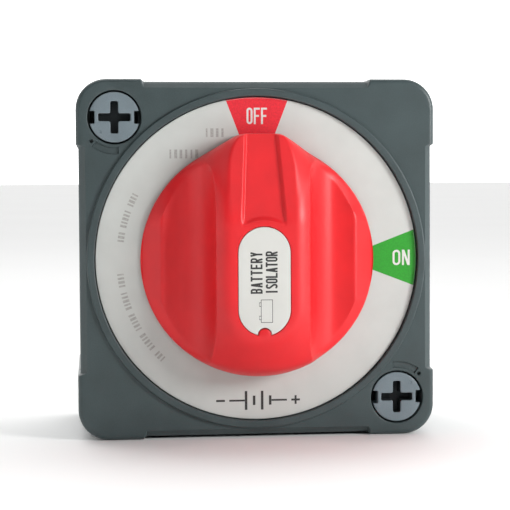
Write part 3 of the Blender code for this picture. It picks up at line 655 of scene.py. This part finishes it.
def make_front_cover():
    """The square front with its ring, dial recess, fastener wells, pockets and rear bosses."""
    bm = bmesh.new()
    low = COVER_LOW.z
    steps = [(0.25, low), (0.0, low + 0.25), (0.0, FACE - SIDE_CHAMFER - 0.5)]
    steps += [(inset, height) for inset, height in quarter_round(CORNER_EDGE, FACE)]
    steps.insert(3, (0.0, FACE - SIDE_CHAMFER))
    skirt = [housing_ring(inset, 0.25 if height == low else side_inset(height), height)
             for inset, height in steps]
    lowest = loop(bm, skirt[0])
    top = chain(bm, lowest, skirt[1:])

    ring = loop(bm, lift(circle((0.0, 0.0), RING_OUTER + 0.05, 240), FACE))
    crown = [(RING_OUTER - 0.05, FACE + 0.12), (RING_OUTER - 0.08, RING_CREST - 0.5)]
    crown += [(RING_OUTER - 0.08 - inset, height) for inset, height in quarter_round(0.45, RING_CREST)[1:]]
    crown += [(RING_INNER + inset, height) for inset, height in reversed(quarter_round(0.35, RING_CREST))]
    floor = DIAL_LOW.z - 0.3
    crown += [(RING_INNER, floor), (SHAFT_HOLE + 0.3, floor), (SHAFT_HOLE, floor - 0.3),
              (SHAFT_HOLE, COVER_UNDERSIDE), (11.6, COVER_UNDERSIDE), (11.6, 49.0), (13.5, 49.0),
              (13.5, COVER_UNDERSIDE)]
    collar = round_chain(bm, ring, (0.0, 0.0), crown)

    holes, below = [ring], [collar]
    for label, signs in CORNERS.items():
        low_f, high_f = face_box("quarter_turn_fastener_" + label)
        centre = ((low_f.x + high_f.x) / 2, (low_f.y + high_f.y) / 2)
        rim = loop(bm, lift(circle(centre, WELL_RADIUS + 0.35, 96), FACE))
        well = [(WELL_RADIUS + 0.1, FACE - 0.12), (WELL_RADIUS, FACE - 0.4), (WELL_RADIUS, WELL_FLOOR),
                (5.0, WELL_FLOOR), (5.0, low + 0.3), (BOSS_RADIUS, low + 0.3), (BOSS_RADIUS, COVER_UNDERSIDE)]
        below.append(round_chain(bm, rim, centre, well))
        holes.append(rim)
        holes += make_corner_marks(bm, centre, 225.0 if signs[0] < 0 else 45.0)
    fill(bm, top, holes)

    for degrees in SIDES.values():
        at = arc((0.0, 0.0), EAR_DISTANCE, degrees, degrees, 1)[0]
        boss = loop(bm, lift(circle(at, 4.2, 40), COVER_UNDERSIDE))
        below.append(boss)
        pilot = round_chain(bm, boss, at, [(4.2, 45.2), (3.9, 44.9), (2.1, 44.9), (1.9, 45.1), (1.9, 51.0)])
        fill(bm, pilot)
    cavity = rounded_square(COVER_INSIDE, 6.5)
    rim_low = loop(bm, lift(cavity, low))
    fill(bm, lowest, [rim_low])
    under = chain(bm, rim_low, [lift(cavity, COVER_UNDERSIDE)])
    fill(bm, under, below)
    make_piece("front_cover_moulding", bm, [HOUSING], "base", ["front_cover"])


def make_corner_marks(bm, centre, toward):
    """A shallow crescent pocket and a small pit in the face beside one fastener."""
    pocket = arc(centre, 10.8, toward + 7.0, toward + 52.0, 24)
    pocket += arc(centre, 8.75, toward + 53.0, toward + 7.0, 24)
    middle = arc(centre, 9.8, toward + 30.0, toward + 30.0, 1)[0]
    rim = loop(bm, lift(pocket, FACE))
    sunk = [tuple(Vector(p).lerp(Vector(middle), 0.07)) for p in pocket]
    fill(bm, chain(bm, rim, [lift(sunk, FACE - 0.6)]))
    at = arc(centre, 9.6, toward + 1.0, toward + 1.0, 1)[0]
    pit = loop(bm, lift(circle(at, 0.62, 24), FACE))
    fill(bm, round_chain(bm, pit, at, [(0.55, FACE - 0.15), (0.5, FACE - 1.6)]))
    return [rim, pit]


# ---------------- dial


OFF_HALF_ANGLE = math.degrees(math.asin(9.1 / DIAL_RADIUS))
ON_HALF_ANGLE = math.degrees(math.asin(8.3 / DIAL_RADIUS))
FIELD_LEAN = math.tan(math.radians(21.0))


def field_outline(toward, half_angle, inner):
    """A wedge field on the dial, from its edge in to a distance from the centre."""
    outer = arc((0.0, 0.0), DIAL_RADIUS - 0.25, toward - half_angle, toward + half_angle, 12)
    edge = (DIAL_RADIUS - 0.25) * math.sin(math.radians(half_angle))
    depth = (DIAL_RADIUS - 0.25) * math.cos(math.radians(half_angle)) - inner
    half = edge - depth * FIELD_LEAN
    ends = [(inner, half), (inner, -half)]
    return outer + turned_about(ends, toward)


def make_dial():
    """The pale dial with its printed fields, letters and marks."""
    bm = bmesh.new()
    paper, red, green, white, faint, dark = range(6)
    fields = [(90.0, OFF_HALF_ANGLE, red), (0.0, ON_HALF_ANGLE, green)]

    def edge_colour(i):
        """The print's colour on the dial's edge at a step round it."""
        angle = (i + 0.5) * 360.0 / DIAL_STEPS
        for toward, half, colour in fields:
            if abs(math.remainder(angle - toward, 360.0)) < half:
                return colour
        return paper

    outer = loop(bm, lift(circle((0.0, 0.0), DIAL_RADIUS - 0.2, DIAL_STEPS), DIAL_TOP))
    inner = loop(bm, lift(circle((0.0, 0.0), 11.1, 72), DIAL_TOP))
    inlays = [(field_outline(toward, half, 30.0), colour) for toward, half, colour in fields]
    inlays += Strokes(1.78, 4.8, 0.58, red, white).word("OFF", (0.0, 42.1), 0.36)
    inlays += Strokes(2.35, 4.6, 0.62, green, white).word("ON", (43.1, 0.0), 0.5)
    inlays += faint_marks(faint)
    inlays += battery_symbol(dark)
    fill(bm, outer, [inner], inlays)
    low = DIAL_LOW.z
    rounded = [(DIAL_RADIUS - 0.06, DIAL_TOP - 0.06), (DIAL_RADIUS, DIAL_TOP - 0.2)]
    side = round_chain(bm, outer, (0.0, 0.0), rounded, edge_colour)
    bottom = round_chain(bm, side, (0.0, 0.0), [(DIAL_RADIUS, low)])
    bore = round_chain(bm, inner, (0.0, 0.0), [(11.0, DIAL_TOP - 0.1), (11.0, low)])
    fill(bm, bottom, [bore])
    materials = [DIAL, RED_INK, GREEN_INK, WHITE_INK, FAINT_INK, DARK_INK]
    make_piece("dial_printed", bm, materials, "base", ["dial_plate"])


def faint_marks(colour):
    """Rows of faint dashes along the dial's left side, where the real one has small print."""
    marks = []
    rows = [(40.6, 152.0, 172.0, 14, 1.9), (40.6, 186.0, 226.0, 26, 1.9)]
    for radius, start, end, count, height in rows:
        for i in range(count):
            degrees = mix(start, end, i / (count - 1))
            at = arc((0.0, 0.0), radius, degrees, degrees, 1)[0]
            width = 0.45 + 0.35 * ((i * 7) % 5) / 4
            if i % 6 != 4:
                marks.append((bar_outline(at, height, width, degrees), colour))
    for x, y, count in [(-25.5, 31.0, 6), (-14.8, 37.2, 4)]:
        for i in range(count):
            width = 0.5 + 0.4 * ((i * 3) % 4) / 3
            marks.append((bar_outline((x + 1.55 * i, y), width, 2.6), colour))
    return marks


def battery_symbol(colour):
    """A circuit-diagram battery between a minus and a plus sign, at the foot of the dial."""
    y = -42.0
    marks = []
    for x, tall in [(-3.6, 5.6), (-1.2, 2.8), (1.2, 5.6), (3.6, 2.8)]:
        marks.append((bar_outline((x, y), 0.75, tall), colour))
    marks += [(bar_outline((sign * 6.3, y), 4.6, 0.55), colour) for sign in (-1, 1)]
    marks.append((bar_outline((-11.2, y), 2.6, 0.6), colour))
    marks.append((bar_outline((11.2, y), 2.6, 0.6), colour))
    marks.append((bar_outline((11.2, y), 0.6, 2.6), colour))
    return marks


# ---------------- knob


def knob_reach(off):
    """How far the knob's outline lies from its axis, at an angle off the pointer."""
    lean = math.atan2(POINTER_HALF, POINTER_TIP) + math.acos(
        min(1.0, KNOB_RADIUS / math.hypot(POINTER_HALF, POINTER_TIP)))
    if off >= lean:
        return KNOB_RADIUS
    return soft_min(KNOB_RADIUS / math.cos(lean - off), POINTER_TIP / math.cos(off), 0.9)


def cap_height(y):
    """The height of the grip's top line, which falls towards the pointer's tip."""
    return CAP - soft_max(0.0, CHANNEL_SLOPE * (y - CAP_END_Y), 0.8)


def knob_edge(x, y):
    """The height of the knob's outline, raised at the pointer, and the pointer's share of it."""
    pointer = smoothstep(0.52, 0.16, abs(math.atan2(x, y)))
    return mix(EDGE_HEIGHT, TIP_HEIGHT, pointer), pointer


def knob_dome(x, y):
    """The height of the knob's rounded outer surface, before the grip is cut into it."""
    edge, pointer = knob_edge(x, y)
    start = mix(0.58, 0.985, pointer)
    fall = math.hypot(x, y) / knob_reach(abs(math.atan2(x, y)))
    fall = min(1.0, max(0.0, (fall - start) / (1.0 - start)))
    return edge + (cap_height(y) - edge) * math.sqrt(1.0 - fall * fall)


def trough_section(side):
    """A finger trough's height at a distance beside the knob's centre line."""
    along = min(1.0, max(0.0, (TROUGH_X - side) / (TROUGH_X - WALL_X)))
    wall = WALL_TOP - (WALL_TOP - TROUGH_FLOOR) * math.sqrt(1.0 - along * along)
    slope = (RIM_HEIGHT - TROUGH_FLOOR) / (RIM_RADIUS - TROUGH_X)
    return soft_max(wall, TROUGH_FLOOR + slope * (side - TROUGH_X), 1.2)


def rim_crest(x, y):
    """How far from the axis the trough meets the rim that surrounds it."""
    around = smoothstep(0.35, 1.0, math.atan2(abs(y), abs(x)))
    return KNOB_RADIUS - mix(KNOB_RADIUS - RIM_RADIUS, RIM_END_WIDTH, around), around


def trough_height(x, y):
    """The height of a finger trough, or of the rim outside it, at a place beside the grip."""
    side, s = abs(x), math.hypot(x, y)
    if side <= WALL_X:
        return 1e3
    crest, around = rim_crest(x, y)
    if s <= crest:
        return trough_section(side)
    inward = crest / s
    reach = knob_reach(abs(math.atan2(x, y)))
    edge, _ = knob_edge(x, y)
    crest_dome = knob_dome(x * inward, y * inward)
    straight = max(0.0, reach - s) / (reach - crest)
    share = mix(straight, (knob_dome(x, y) - edge) / (crest_dome - edge), around)
    return edge + (min(trough_section(side * inward), crest_dome) - edge) * share


def knob_height(x, y):
    """The height of the knob's front surface above the dial."""
    beside = abs(x) if y > GRIP_END_Y else math.hypot(x, y - GRIP_END_Y)
    top = soft_min(knob_dome(x, y), cap_height(y) - FLANK_SLOPE * (beside - GRIP_EDGE), 1.5)
    top = channel_cut(x, y, top)
    return soft_min(top, trough_height(x, y), 0.4)


def channel_cut(x, y, top):
    """The surface with the pointer's channel cut into it."""
    arc_centre = INSERT_TOP_Y - INSERT_HALF
    half = CHANNEL_HALF - CHANNEL_TAPER * max(0.0, y - 12.0)
    inside = soft_min(half - abs(x), math.hypot(x, y - arc_centre) - INSERT_HALF - CHANNEL_MARGIN, 1.4)
    if y < arc_centre or inside <= 0.0:
        return top
    floor = CAP - CHANNEL_DEPTH - CHANNEL_SLOPE * (y - arc_centre - INSERT_HALF - CHANNEL_MARGIN)
    return mix(top, min(top, floor), smoothstep(0.0, 1.1, inside))


def insert_outline(grow):
    """The insert's outline with its pry notch, counter-clockwise, made larger by a margin."""
    radius = INSERT_HALF + grow
    upper, lower = INSERT_TOP_Y - INSERT_HALF, INSERT_BOTTOM_Y + INSERT_HALF
    notch = PRY_NOTCH - grow
    bite = math.degrees(math.asin(notch / radius))
    outline = arc((0.0, upper), radius, 0.0, 180.0, 40)
    outline += arc((0.0, lower), radius, 180.0, 270.0 - bite, 18)
    foot = (0.0, lower - radius * math.cos(math.radians(bite)))
    outline += arc(foot, notch, 180.0, 0.0, 14)[1:-1]
    outline += arc((0.0, lower), radius, 270.0 + bite, 360.0, 18)
    return outline


def spread(low, high, step, fine):
    """Places from low to high a step apart, or closer inside the fine (from, to, step) bands."""
    places, at = [], low
    while at < high:
        places.append(at)
        near = [s for a, b, s in fine if a <= abs(at) <= b]
        at += min([step, *near])
    return places


def make_knob():
    """The knob: a fine height field with a seat for the insert, on a hollow hub."""
    bm = bmesh.new()
    outline = []
    for i in range(KNOB_STEPS):
        angle = 2.0 * math.pi * i / KNOB_STEPS
        reach = knob_reach(abs(math.remainder(angle, 2.0 * math.pi)))
        outline.append((-reach * math.sin(angle), reach * math.cos(angle)))
    outer = loop(bm, [(x, y, DIAL_TOP + knob_height(x, y)) for x, y in outline])
    seat = insert_outline(SEAT_GAP + 0.12)
    rim = loop(bm, lift(seat, DIAL_TOP + CAP))
    points = []
    bands = [(13.2, 15.2, 0.14), (4.0, 6.6, 0.2), (9.0, 13.2, 0.35)]
    columns = spread(-KNOB_RADIUS, KNOB_RADIUS, 0.45, bands)
    rows = spread(-KNOB_RADIUS, POINTER_TIP, 0.45, [(33.0, 36.6, 0.3)])
    for x, y in outline:
        crest, _ = rim_crest(x, y)
        if abs(x) > WALL_X:
            points.append((x * crest / math.hypot(x, y), y * crest / math.hypot(x, y)))
    for x in columns:
        for y in rows:
            crest, _ = rim_crest(x, y)
            if abs(x) > WALL_X and abs(math.hypot(x, y) - crest) < 0.15:
                continue
            clear = knob_reach(abs(math.atan2(x, y))) - math.hypot(x, y)
            upper, lower = INSERT_TOP_Y - INSERT_HALF, INSERT_BOTTOM_Y + INSERT_HALF
            away = math.hypot(x, y - min(upper, max(lower, y))) - INSERT_HALF
            if clear > 0.12 and away > 0.45:
                points.append((x, y))
    fill(bm, outer, [rim], points=points, height=lambda x, y: DIAL_TOP + knob_height(x, y))

    seat_floor = INSERT_LOW.z - 0.3
    wall = insert_outline(SEAT_GAP)
    sunk = chain(bm, rim, [lift(wall, DIAL_TOP + CAP - 0.15), lift(wall, seat_floor)])
    well = loop(bm, lift(circle((0.0, 0.0), SCREW_WELL_RADIUS, 64), seat_floor))
    fill(bm, sunk, [well])
    hub = [(SCREW_WELL_RADIUS, HUB_WEB_HIGH), (2.6, HUB_WEB_HIGH), (2.6, HUB_WEB_LOW), (7.3, HUB_WEB_LOW),
           (7.3, KNOB_LOW.z)]
    socket = round_chain(bm, well, (0.0, 0.0), hub)
    lower = [(x * 0.995, y * 0.995, KNOB_LOW.z) for x, y in outline]
    foot = chain(bm, outer, [lift(outline, KNOB_LOW.z + 0.25), lower])
    fill(bm, foot, [socket])
    make_piece("knob_moulding", bm, [KNOB], "knob", ["knob"], sharp=50.0, weighted=False)


def make_insert():
    """The label insert with two lines of text and a small battery outline."""
    bm = bmesh.new()
    paper, dark = 0, 1
    top, low = INSERT_HIGH.z, INSERT_LOW.z
    outer = loop(bm, lift(insert_outline(-0.2), top))
    writing = Strokes(1.40, 3.4, 0.52, paper, dark)
    inlays = writing.word("BATTERY", (-2.3, -3.0), 0.34, 90.0)
    inlays += writing.word("ISOLATOR", (2.0, -3.0), 0.14, 90.0)
    inlays += battery_outline(paper, dark)
    fill(bm, outer, inlays=inlays)
    foot = chain(bm, outer, [lift(insert_outline(-0.06), top - 0.06), lift(insert_outline(0.0), top - 0.2),
                             lift(insert_outline(0.0), low + 0.1), lift(insert_outline(-0.1), low)])
    fill(bm, foot)
    make_piece("insert_label", bm, [INSERT, DARK_INK], "insert", ["knob_insert"])


def battery_outline(paper, dark):
    """A thin outline of a battery with two posts."""
    centre, wide, tall, line = (0.6, -13.9), 3.4, 6.6, 0.16
    marks = [(bar_outline(centre, wide, tall), dark),
             (bar_outline(centre, wide - 2 * line, tall - 2 * line), paper)]
    for sign in (-1, 1):
        post = (centre[0] - wide / 2 - 0.2, centre[1] + sign * 1.9)
        marks.append((bar_outline(post, 0.55, 1.2), dark))
        marks.append((bar_outline(post, 0.55 - 1.2 * line, 1.2 - 2 * line), paper))
    return marks


# ---------------- fasteners


def cross_outline(centre, arm, half, soft):
    """A cross with round outer corners and round inner corners."""
    inner = arc((half + soft, half + soft), soft, 270.0, 180.0, 5)
    tip = arc((arm - soft, half - soft), soft, 0.0, 90.0, 5)
    other = [(y, x) for x, y in reversed(tip)]
    points = tip + inner + other
    outline = []
    for k in range(4):
        outline += turned_about(points, 90.0 * k)
    return without_repeats([(x + centre[0], y + centre[1]) for x, y in outline])


def head_outline(centre, radius, notch_depth, notch_half):
    """A round head with a square notch at three and at nine o'clock."""
    bite = math.degrees(math.asin(notch_half / radius))
    half_turn = arc((0.0, 0.0), radius, bite, 180.0 - bite, 44)
    floor = radius - notch_depth
    notch = [(-floor - 0.2, notch_half), (-floor, notch_half - 0.2), (-floor, -notch_half + 0.2),
             (-floor - 0.2, -notch_half)]
    outline = half_turn + notch
    outline += turned_about(outline, 180.0)
    return [(x + centre[0], y + centre[1]) for x, y in outline]


def lug_ring(centre, height):
    """The round shank with its lug across it, as a ring of points."""
    reaches = []
    for i in range(ROUND_STEPS):
        angle = 2.0 * math.pi * i / ROUND_STEPS
        across = LUG_WIDTH / 2 / max(1e-6, abs(math.sin(angle)))
        along = LUG_REACH / max(1e-6, abs(math.cos(angle)))
        reaches.append(max(SHANK_RADIUS, min(across, along)))
    return polar_ring(centre, reaches, height)


def make_fastener(label, signs):
    """One quarter-turn fastener: notched head, cross recess, index dot, shank and lugs."""
    low, high = face_box("quarter_turn_fastener_" + label)
    centre = ((low.x + high.x) / 2, (low.y + high.y) / 2)
    top, radius = high.z, (high.x - low.x) / 2
    bm = bmesh.new()
    head = [head_outline(centre, radius - inset, 1.6, 1.9) for inset in (0.4, 0.15, 0.08)]
    rim = loop(bm, lift(head[0], top))
    arm, half = CROSS_ARM, CROSS_HALF
    recess = loop(bm, lift(cross_outline(centre, arm + 0.22, half + 0.22, 0.5), top))
    lead = chain(bm, recess, [lift(cross_outline(centre, arm + 0.05, half + 0.05, 0.5), top - 0.1),
                              lift(cross_outline(centre, arm, half, 0.5), top - 0.3)])
    # The recess walls below the lead-in and the recess floor take material 1, the near-black painted shade.
    sunk = chain(bm, lead, [lift(cross_outline(centre, arm - 0.2, half - 0.15, 0.4), top - CROSS_DEPTH)], 1)
    fill(bm, sunk, base=1)
    toward = math.degrees(math.atan2(-abs(signs[0]) * signs[1], signs[0]))
    at = arc(centre, 5.9, toward, toward, 1)[0]
    dot = loop(bm, lift(circle(at, 0.42, 16), top))
    fill(bm, round_chain(bm, dot, at, [(0.3, top - 0.12)]))
    fill(bm, rim, [recess, dot])
    foot = chain(bm, rim, [lift(head[1], top - 0.1), lift(head[2], top - 0.35),
                           lift(head[2], HEAD_UNDERSIDE)])
    shank = loop(bm, lift(circle(centre, SHANK_RADIUS, ROUND_STEPS), HEAD_UNDERSIDE))
    fill(bm, foot, [shank])
    neck = round_chain(bm, shank, centre, [(SHANK_RADIUS, LUG_HIGH + 0.3)])
    lug = chain(bm, neck, [lug_ring(centre, height) for height in (LUG_HIGH, LUG_LOW)])
    fill(bm, round_chain(bm, lug, centre, [(SHANK_RADIUS, 36.3), (SHANK_RADIUS, 34.6), (4.0, low.z)]))
    make_piece("fastener_" + label, bm, [FASTENER, PAINTED_RECESS_SHADE], "fastener_" + label,
               ["quarter_turn_fastener_" + label])


# ---------------- terminals


def thread_ring(centre, height):
    """A ring of a screw thread's helix at one height."""
    reaches = []
    for i in range(STUD_STEPS):
        phase = (i / STUD_STEPS + height / THREAD_PITCH) % 1.0
        reaches.append(THREAD_RADIUS - THREAD_DEPTH * abs(2.0 * phase - 1.0))
    return polar_ring(centre, reaches, height)


def make_stud(label):
    """A terminal stud with its contact head and a rolled thread."""
    low, high = face_box("terminal_stud_" + label)
    centre = ((low.x + high.x) / 2, 0.0)
    bm = bmesh.new()
    end = loop(bm, lift(circle(centre, THREAD_RADIUS - 1.0, STUD_STEPS), low.z))
    fill(bm, end)
    rings = []
    height = low.z + 0.9
    while height < THREAD_TOP:
        rings.append(thread_ring(centre, height))
        height += THREAD_PITCH / 10
    head = [(THREAD_RADIUS, THREAD_TOP + 0.2), (THREAD_RADIUS, 30.3), (7.2, 30.3), (7.5, 30.6),
            (7.5, high.z - 0.3), (7.2, high.z)]
    rings += [lift(circle(centre, r, STUD_STEPS), h) for r, h in head]
    fill(bm, chain(bm, end, rings))
    make_piece("stud_" + label, bm, [TINNED], "base", ["terminal_stud_" + label],
               weighted=False)


def hex_ring(centre, across_flats, limit, height):
    """A hexagon's outline, cut to a radius by its chamfer."""
    reaches = []
    for i in range(ROUND_STEPS):
        angle = 2.0 * math.pi * i / ROUND_STEPS
        flat = math.remainder(angle - math.pi / 6, math.pi / 3)
        reaches.append(min(across_flats / 2 / math.cos(flat), limit))
    return polar_ring(centre, reaches, height)


def make_nut(label):
    """A hexagon nut with chamfered corners and a countersunk bore."""
    low, high = face_box("terminal_nut_" + label)
    centre = ((low.x + high.x) / 2, 0.0)
    flats, corner = high.x - low.x, (high.x - low.x) / math.sqrt(3.0)
    bm = bmesh.new()
    steps = []
    for i in range(7):
        drop = i / 6
        steps.append((flats / 2 - 0.15 + (corner - flats / 2 + 0.2) * drop, low.z + 1.15 * drop * 0.6))
    rings = [hex_ring(centre, flats, limit, h) for limit, h in steps]
    rings += [hex_ring(centre, flats, limit, high.z - (h - low.z)) for limit, h in reversed(steps)]
    first = loop(bm, rings[0])
    last = chain(bm, first, rings[1:])
    bore = [(6.0, high.z), (CLEAR_RADIUS, high.z - 0.7), (CLEAR_RADIUS, low.z + 0.7), (6.0, low.z)]
    inner = round_chain(bm, last, centre, bore)
    bridge(bm, inner, first)
    make_piece("nut_" + label, bm, [STEEL], "base", ["terminal_nut_" + label])


def make_washer(label):
    """A flat washer with rounded outer edges."""
    low, high = face_box("flat_washer_" + label)
    centre = ((low.x + high.x) / 2, 0.0)
    outer = (high.x - low.x) / 2
    bm = bmesh.new()
    profile = [(CLEAR_RADIUS, high.z), (outer - 0.3, high.z), (outer - 0.08, high.z - 0.1),
               (outer, high.z - 0.4), (outer, low.z + 0.4), (outer - 0.08, low.z + 0.1), (outer - 0.3, low.z),
               (CLEAR_RADIUS, low.z)]
    first = loop(bm, lift(circle(centre, profile[0][0], ROUND_STEPS), profile[0][1]))
    last = round_chain(bm, first, centre, profile[1:])
    bridge(bm, last, first)
    make_piece("flat_washer_" + label + "_turned", bm, [STEEL], "base",
               ["flat_washer_" + label])


def make_spring_washer(label, sign):
    """A split spring washer whose ends stand apart."""
    low, high = face_box("spring_washer_" + label)
    centre = ((low.x + high.x) / 2, 0.0)
    outer, inner = (high.x - low.x) / 2, CLEAR_RADIUS
    thick, steps, gap = 2.1, 72, 9.0
    facing = 0.0 if sign > 0 else 180.0
    bm = bmesh.new()
    section = [(inner, 0.0), (outer - 0.15, 0.0), (outer, 0.2), (outer, thick - 0.2),
               (outer - 0.15, thick), (inner, thick)]
    sections = []
    for i in range(steps + 1):
        t = i / steps
        angle = math.radians(facing + gap / 2 + (360.0 - gap) * t)
        base = mix(low.z, high.z - thick, t)
        sections.append(loop(bm, [(centre[0] + r * math.cos(angle), centre[1] + r * math.sin(angle), base + z)
                                  for r, z in section]))
    for one, two in zip(sections, sections[1:]):
        bridge(bm, one, two)
    bm.faces.new(sections[0])
    bm.faces.new(reversed(sections[-1]))
    make_piece("spring_washer_" + label + "_split", bm, [STEEL], "base",
               ["spring_washer_" + label])


# ---------------- carried-over CAD nodes


def refine(node, material, bevel=0.0, segments=2, smooth=35.0):
    """Give a CAD node its material and, through modifiers only, clean faces and soft edges."""
    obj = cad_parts[node]
    obj.data.materials.clear()
    obj.data.materials.append(material)
    weld = obj.modifiers.new("weld", "WELD")
    weld.merge_threshold = 0.005 * MM
    if bevel:
        planar = obj.modifiers.new("flat_faces", "DECIMATE")
        planar.decimate_type = "DISSOLVE"
        planar.angle_limit = math.radians(1.0)
        edge = obj.modifiers.new("soft_edges", "BEVEL")
        edge.width = bevel * MM
        edge.segments = segments
        edge.limit_method = "ANGLE"
        edge.angle_limit = math.radians(smooth)
        edge.use_clamp_overlap = True
        edge.harden_normals = False
    normals = obj.modifiers.new("weighted", "WEIGHTED_NORMAL")
    normals.keep_sharp = True
    obj.data.shade_smooth()
    obj.data.set_sharp_from_angle(angle=math.radians(smooth))


def finish_cad_nodes():
    """Materials and soft edges for the CAD nodes that stay in view."""
    refine("base_frame", HOUSING, bevel=0.35)
    for side in SIDES:
        refine("side_plate_" + side, HOUSING, bevel=0.3)
        refine("housing_screw_" + side, STEEL)
    refine("contact_housing", CHAMBER, bevel=0.3)
    refine("rotor", ROTOR, bevel=0.2)
    refine("contact_bridge", COPPER, bevel=0.3)
    refine("contact_spring", SPRING)
    for label in ("left", "right"):
        refine("detent_spring_" + label, SPRING)
    for label in CORNERS:
        refine("fastener_o_ring_" + label, RUBBER)
    refine("shaft_seal", RUBBER)
    refine("housing_seal", RUBBER)
    refine("knob_washer", STEEL)
    refine("knob_screw", STEEL)


# ---------------- studio


def make_floor():
    """A wide pale floor just under the switch."""
    n = Nodes("floor_paint")
    clouds = n.noise(400.0, detail=2.0)
    paint = n.ramp(clouds, [(0.3, (0.91, 0.91, 0.905)), (0.7, (0.93, 0.93, 0.925))])
    n.feed("Base Color", paint)
    n.feed("Roughness", n.rescale(clouds, 0.75, 0.85))
    bm = bmesh.new()
    bmesh.ops.create_grid(bm, x_segments=8, y_segments=8, size=30.0)
    mesh = bpy.data.meshes.new("floor")
    bm.to_mesh(mesh)
    bm.free()
    mesh.materials.append(n.material)
    floor = bpy.data.objects.new("floor", mesh)
    floor.location.z = CAD_BOX[0].z - 0.1 * MM
    bpy.context.scene.collection.objects.link(floor)


def make_world():
    """A soft white surround: bright behind the switch, dim in front of it and to its left."""
    world = bpy.data.worlds.new("studio")
    bpy.context.scene.world = world
    world.use_nodes = True
    tree = world.node_tree
    background = tree.nodes["Background"]
    place = tree.nodes.new("ShaderNodeTexCoord")
    split = tree.nodes.new("ShaderNodeSeparateXYZ")
    tree.links.new(place.outputs["Generated"], split.inputs["Vector"])

    def fade(axis, start, end, low, high):
        """A smooth change of strength along one axis of the surround."""
        node = map_range(tree, split.outputs[axis], (start, end, low, high))
        node.interpolation_type = "SMOOTHSTEP"
        return node.outputs["Result"]

    product = tree.nodes.new("ShaderNodeMath")
    product.operation = "MULTIPLY"
    tree.links.new(fade("Y", -0.10, 0.40, FRONT_LEVEL, BACK_LEVEL), product.inputs[0])
    tree.links.new(fade("X", -0.95, -0.35, LEFT_SHARE, 1.0), product.inputs[1])
    tree.links.new(product.outputs["Value"], background.inputs["Strength"])
    background.inputs["Color"].default_value = (1.0, 1.0, 1.0, 1.0)


def add_area_light(name, place, power, size, target=(0.0, 0.0, 0.0)):
    """A square soft light at a place, aimed at a point."""
    data = bpy.data.lights.new(name, "AREA")
    data.shape = "SQUARE"
    data.size = size
    data.energy = power
    light = bpy.data.objects.new(name, data)
    light.location = place
    light.rotation_mode = "QUATERNION"
    light.rotation_quaternion = (Vector(target) - Vector(place)).to_track_quat("-Z", "Y")
    bpy.context.scene.collection.objects.link(light)


def make_lights():
    """A soft key from the upper right, a weak fill and a light from behind for the rear views."""
    add_area_light("key", (0.42, -0.36, 0.15), 2.2, 0.16, (0.0, -DIAL_TOP * MM, 0.0))
    add_area_light("left_fill", (-0.70, -0.22, 0.12), 1.0, 0.60)
    add_area_light("front_top", (-0.05, -0.75, 0.50), 0.7, 0.35)
    add_area_light("top_rear", (-0.2, 0.45, 0.95), 2.0, 0.6)


def make_camera():
    """The camera in front of the switch, a little to the left of its axis and above it."""
    data = bpy.data.cameras.new("camera")
    data.sensor_width = 36.0
    data.lens = CAMERA_LENS
    camera = bpy.data.objects.new("camera", data)
    tilt = Matrix.Identity(4)
    for axis, degrees in CAMERA_TILT.items():
        tilt = tilt @ Matrix.Rotation(math.radians(degrees), 4, axis)
    upright = Matrix.Translation(CAMERA_PLACE) @ Matrix.Rotation(math.radians(90.0), 4, "X")
    camera.matrix_world = upright @ tilt
    bpy.context.scene.collection.objects.link(camera)
    bpy.context.scene.camera = camera


def main():
    """Build every piece and the studio."""
    make_front_cover()
    make_dial()
    make_knob()
    make_insert()
    for label, signs in CORNERS.items():
        make_fastener(label, signs)
    for label, sign in (("left", -1), ("right", 1)):
        make_stud(label)
        make_nut(label)
        make_washer(label)
        make_spring_washer(label, sign)
    finish_cad_nodes()
    make_floor()
    make_world()
    make_lights()
    make_camera()
    bpy.context.scene.view_settings.view_transform = "Standard"


main()
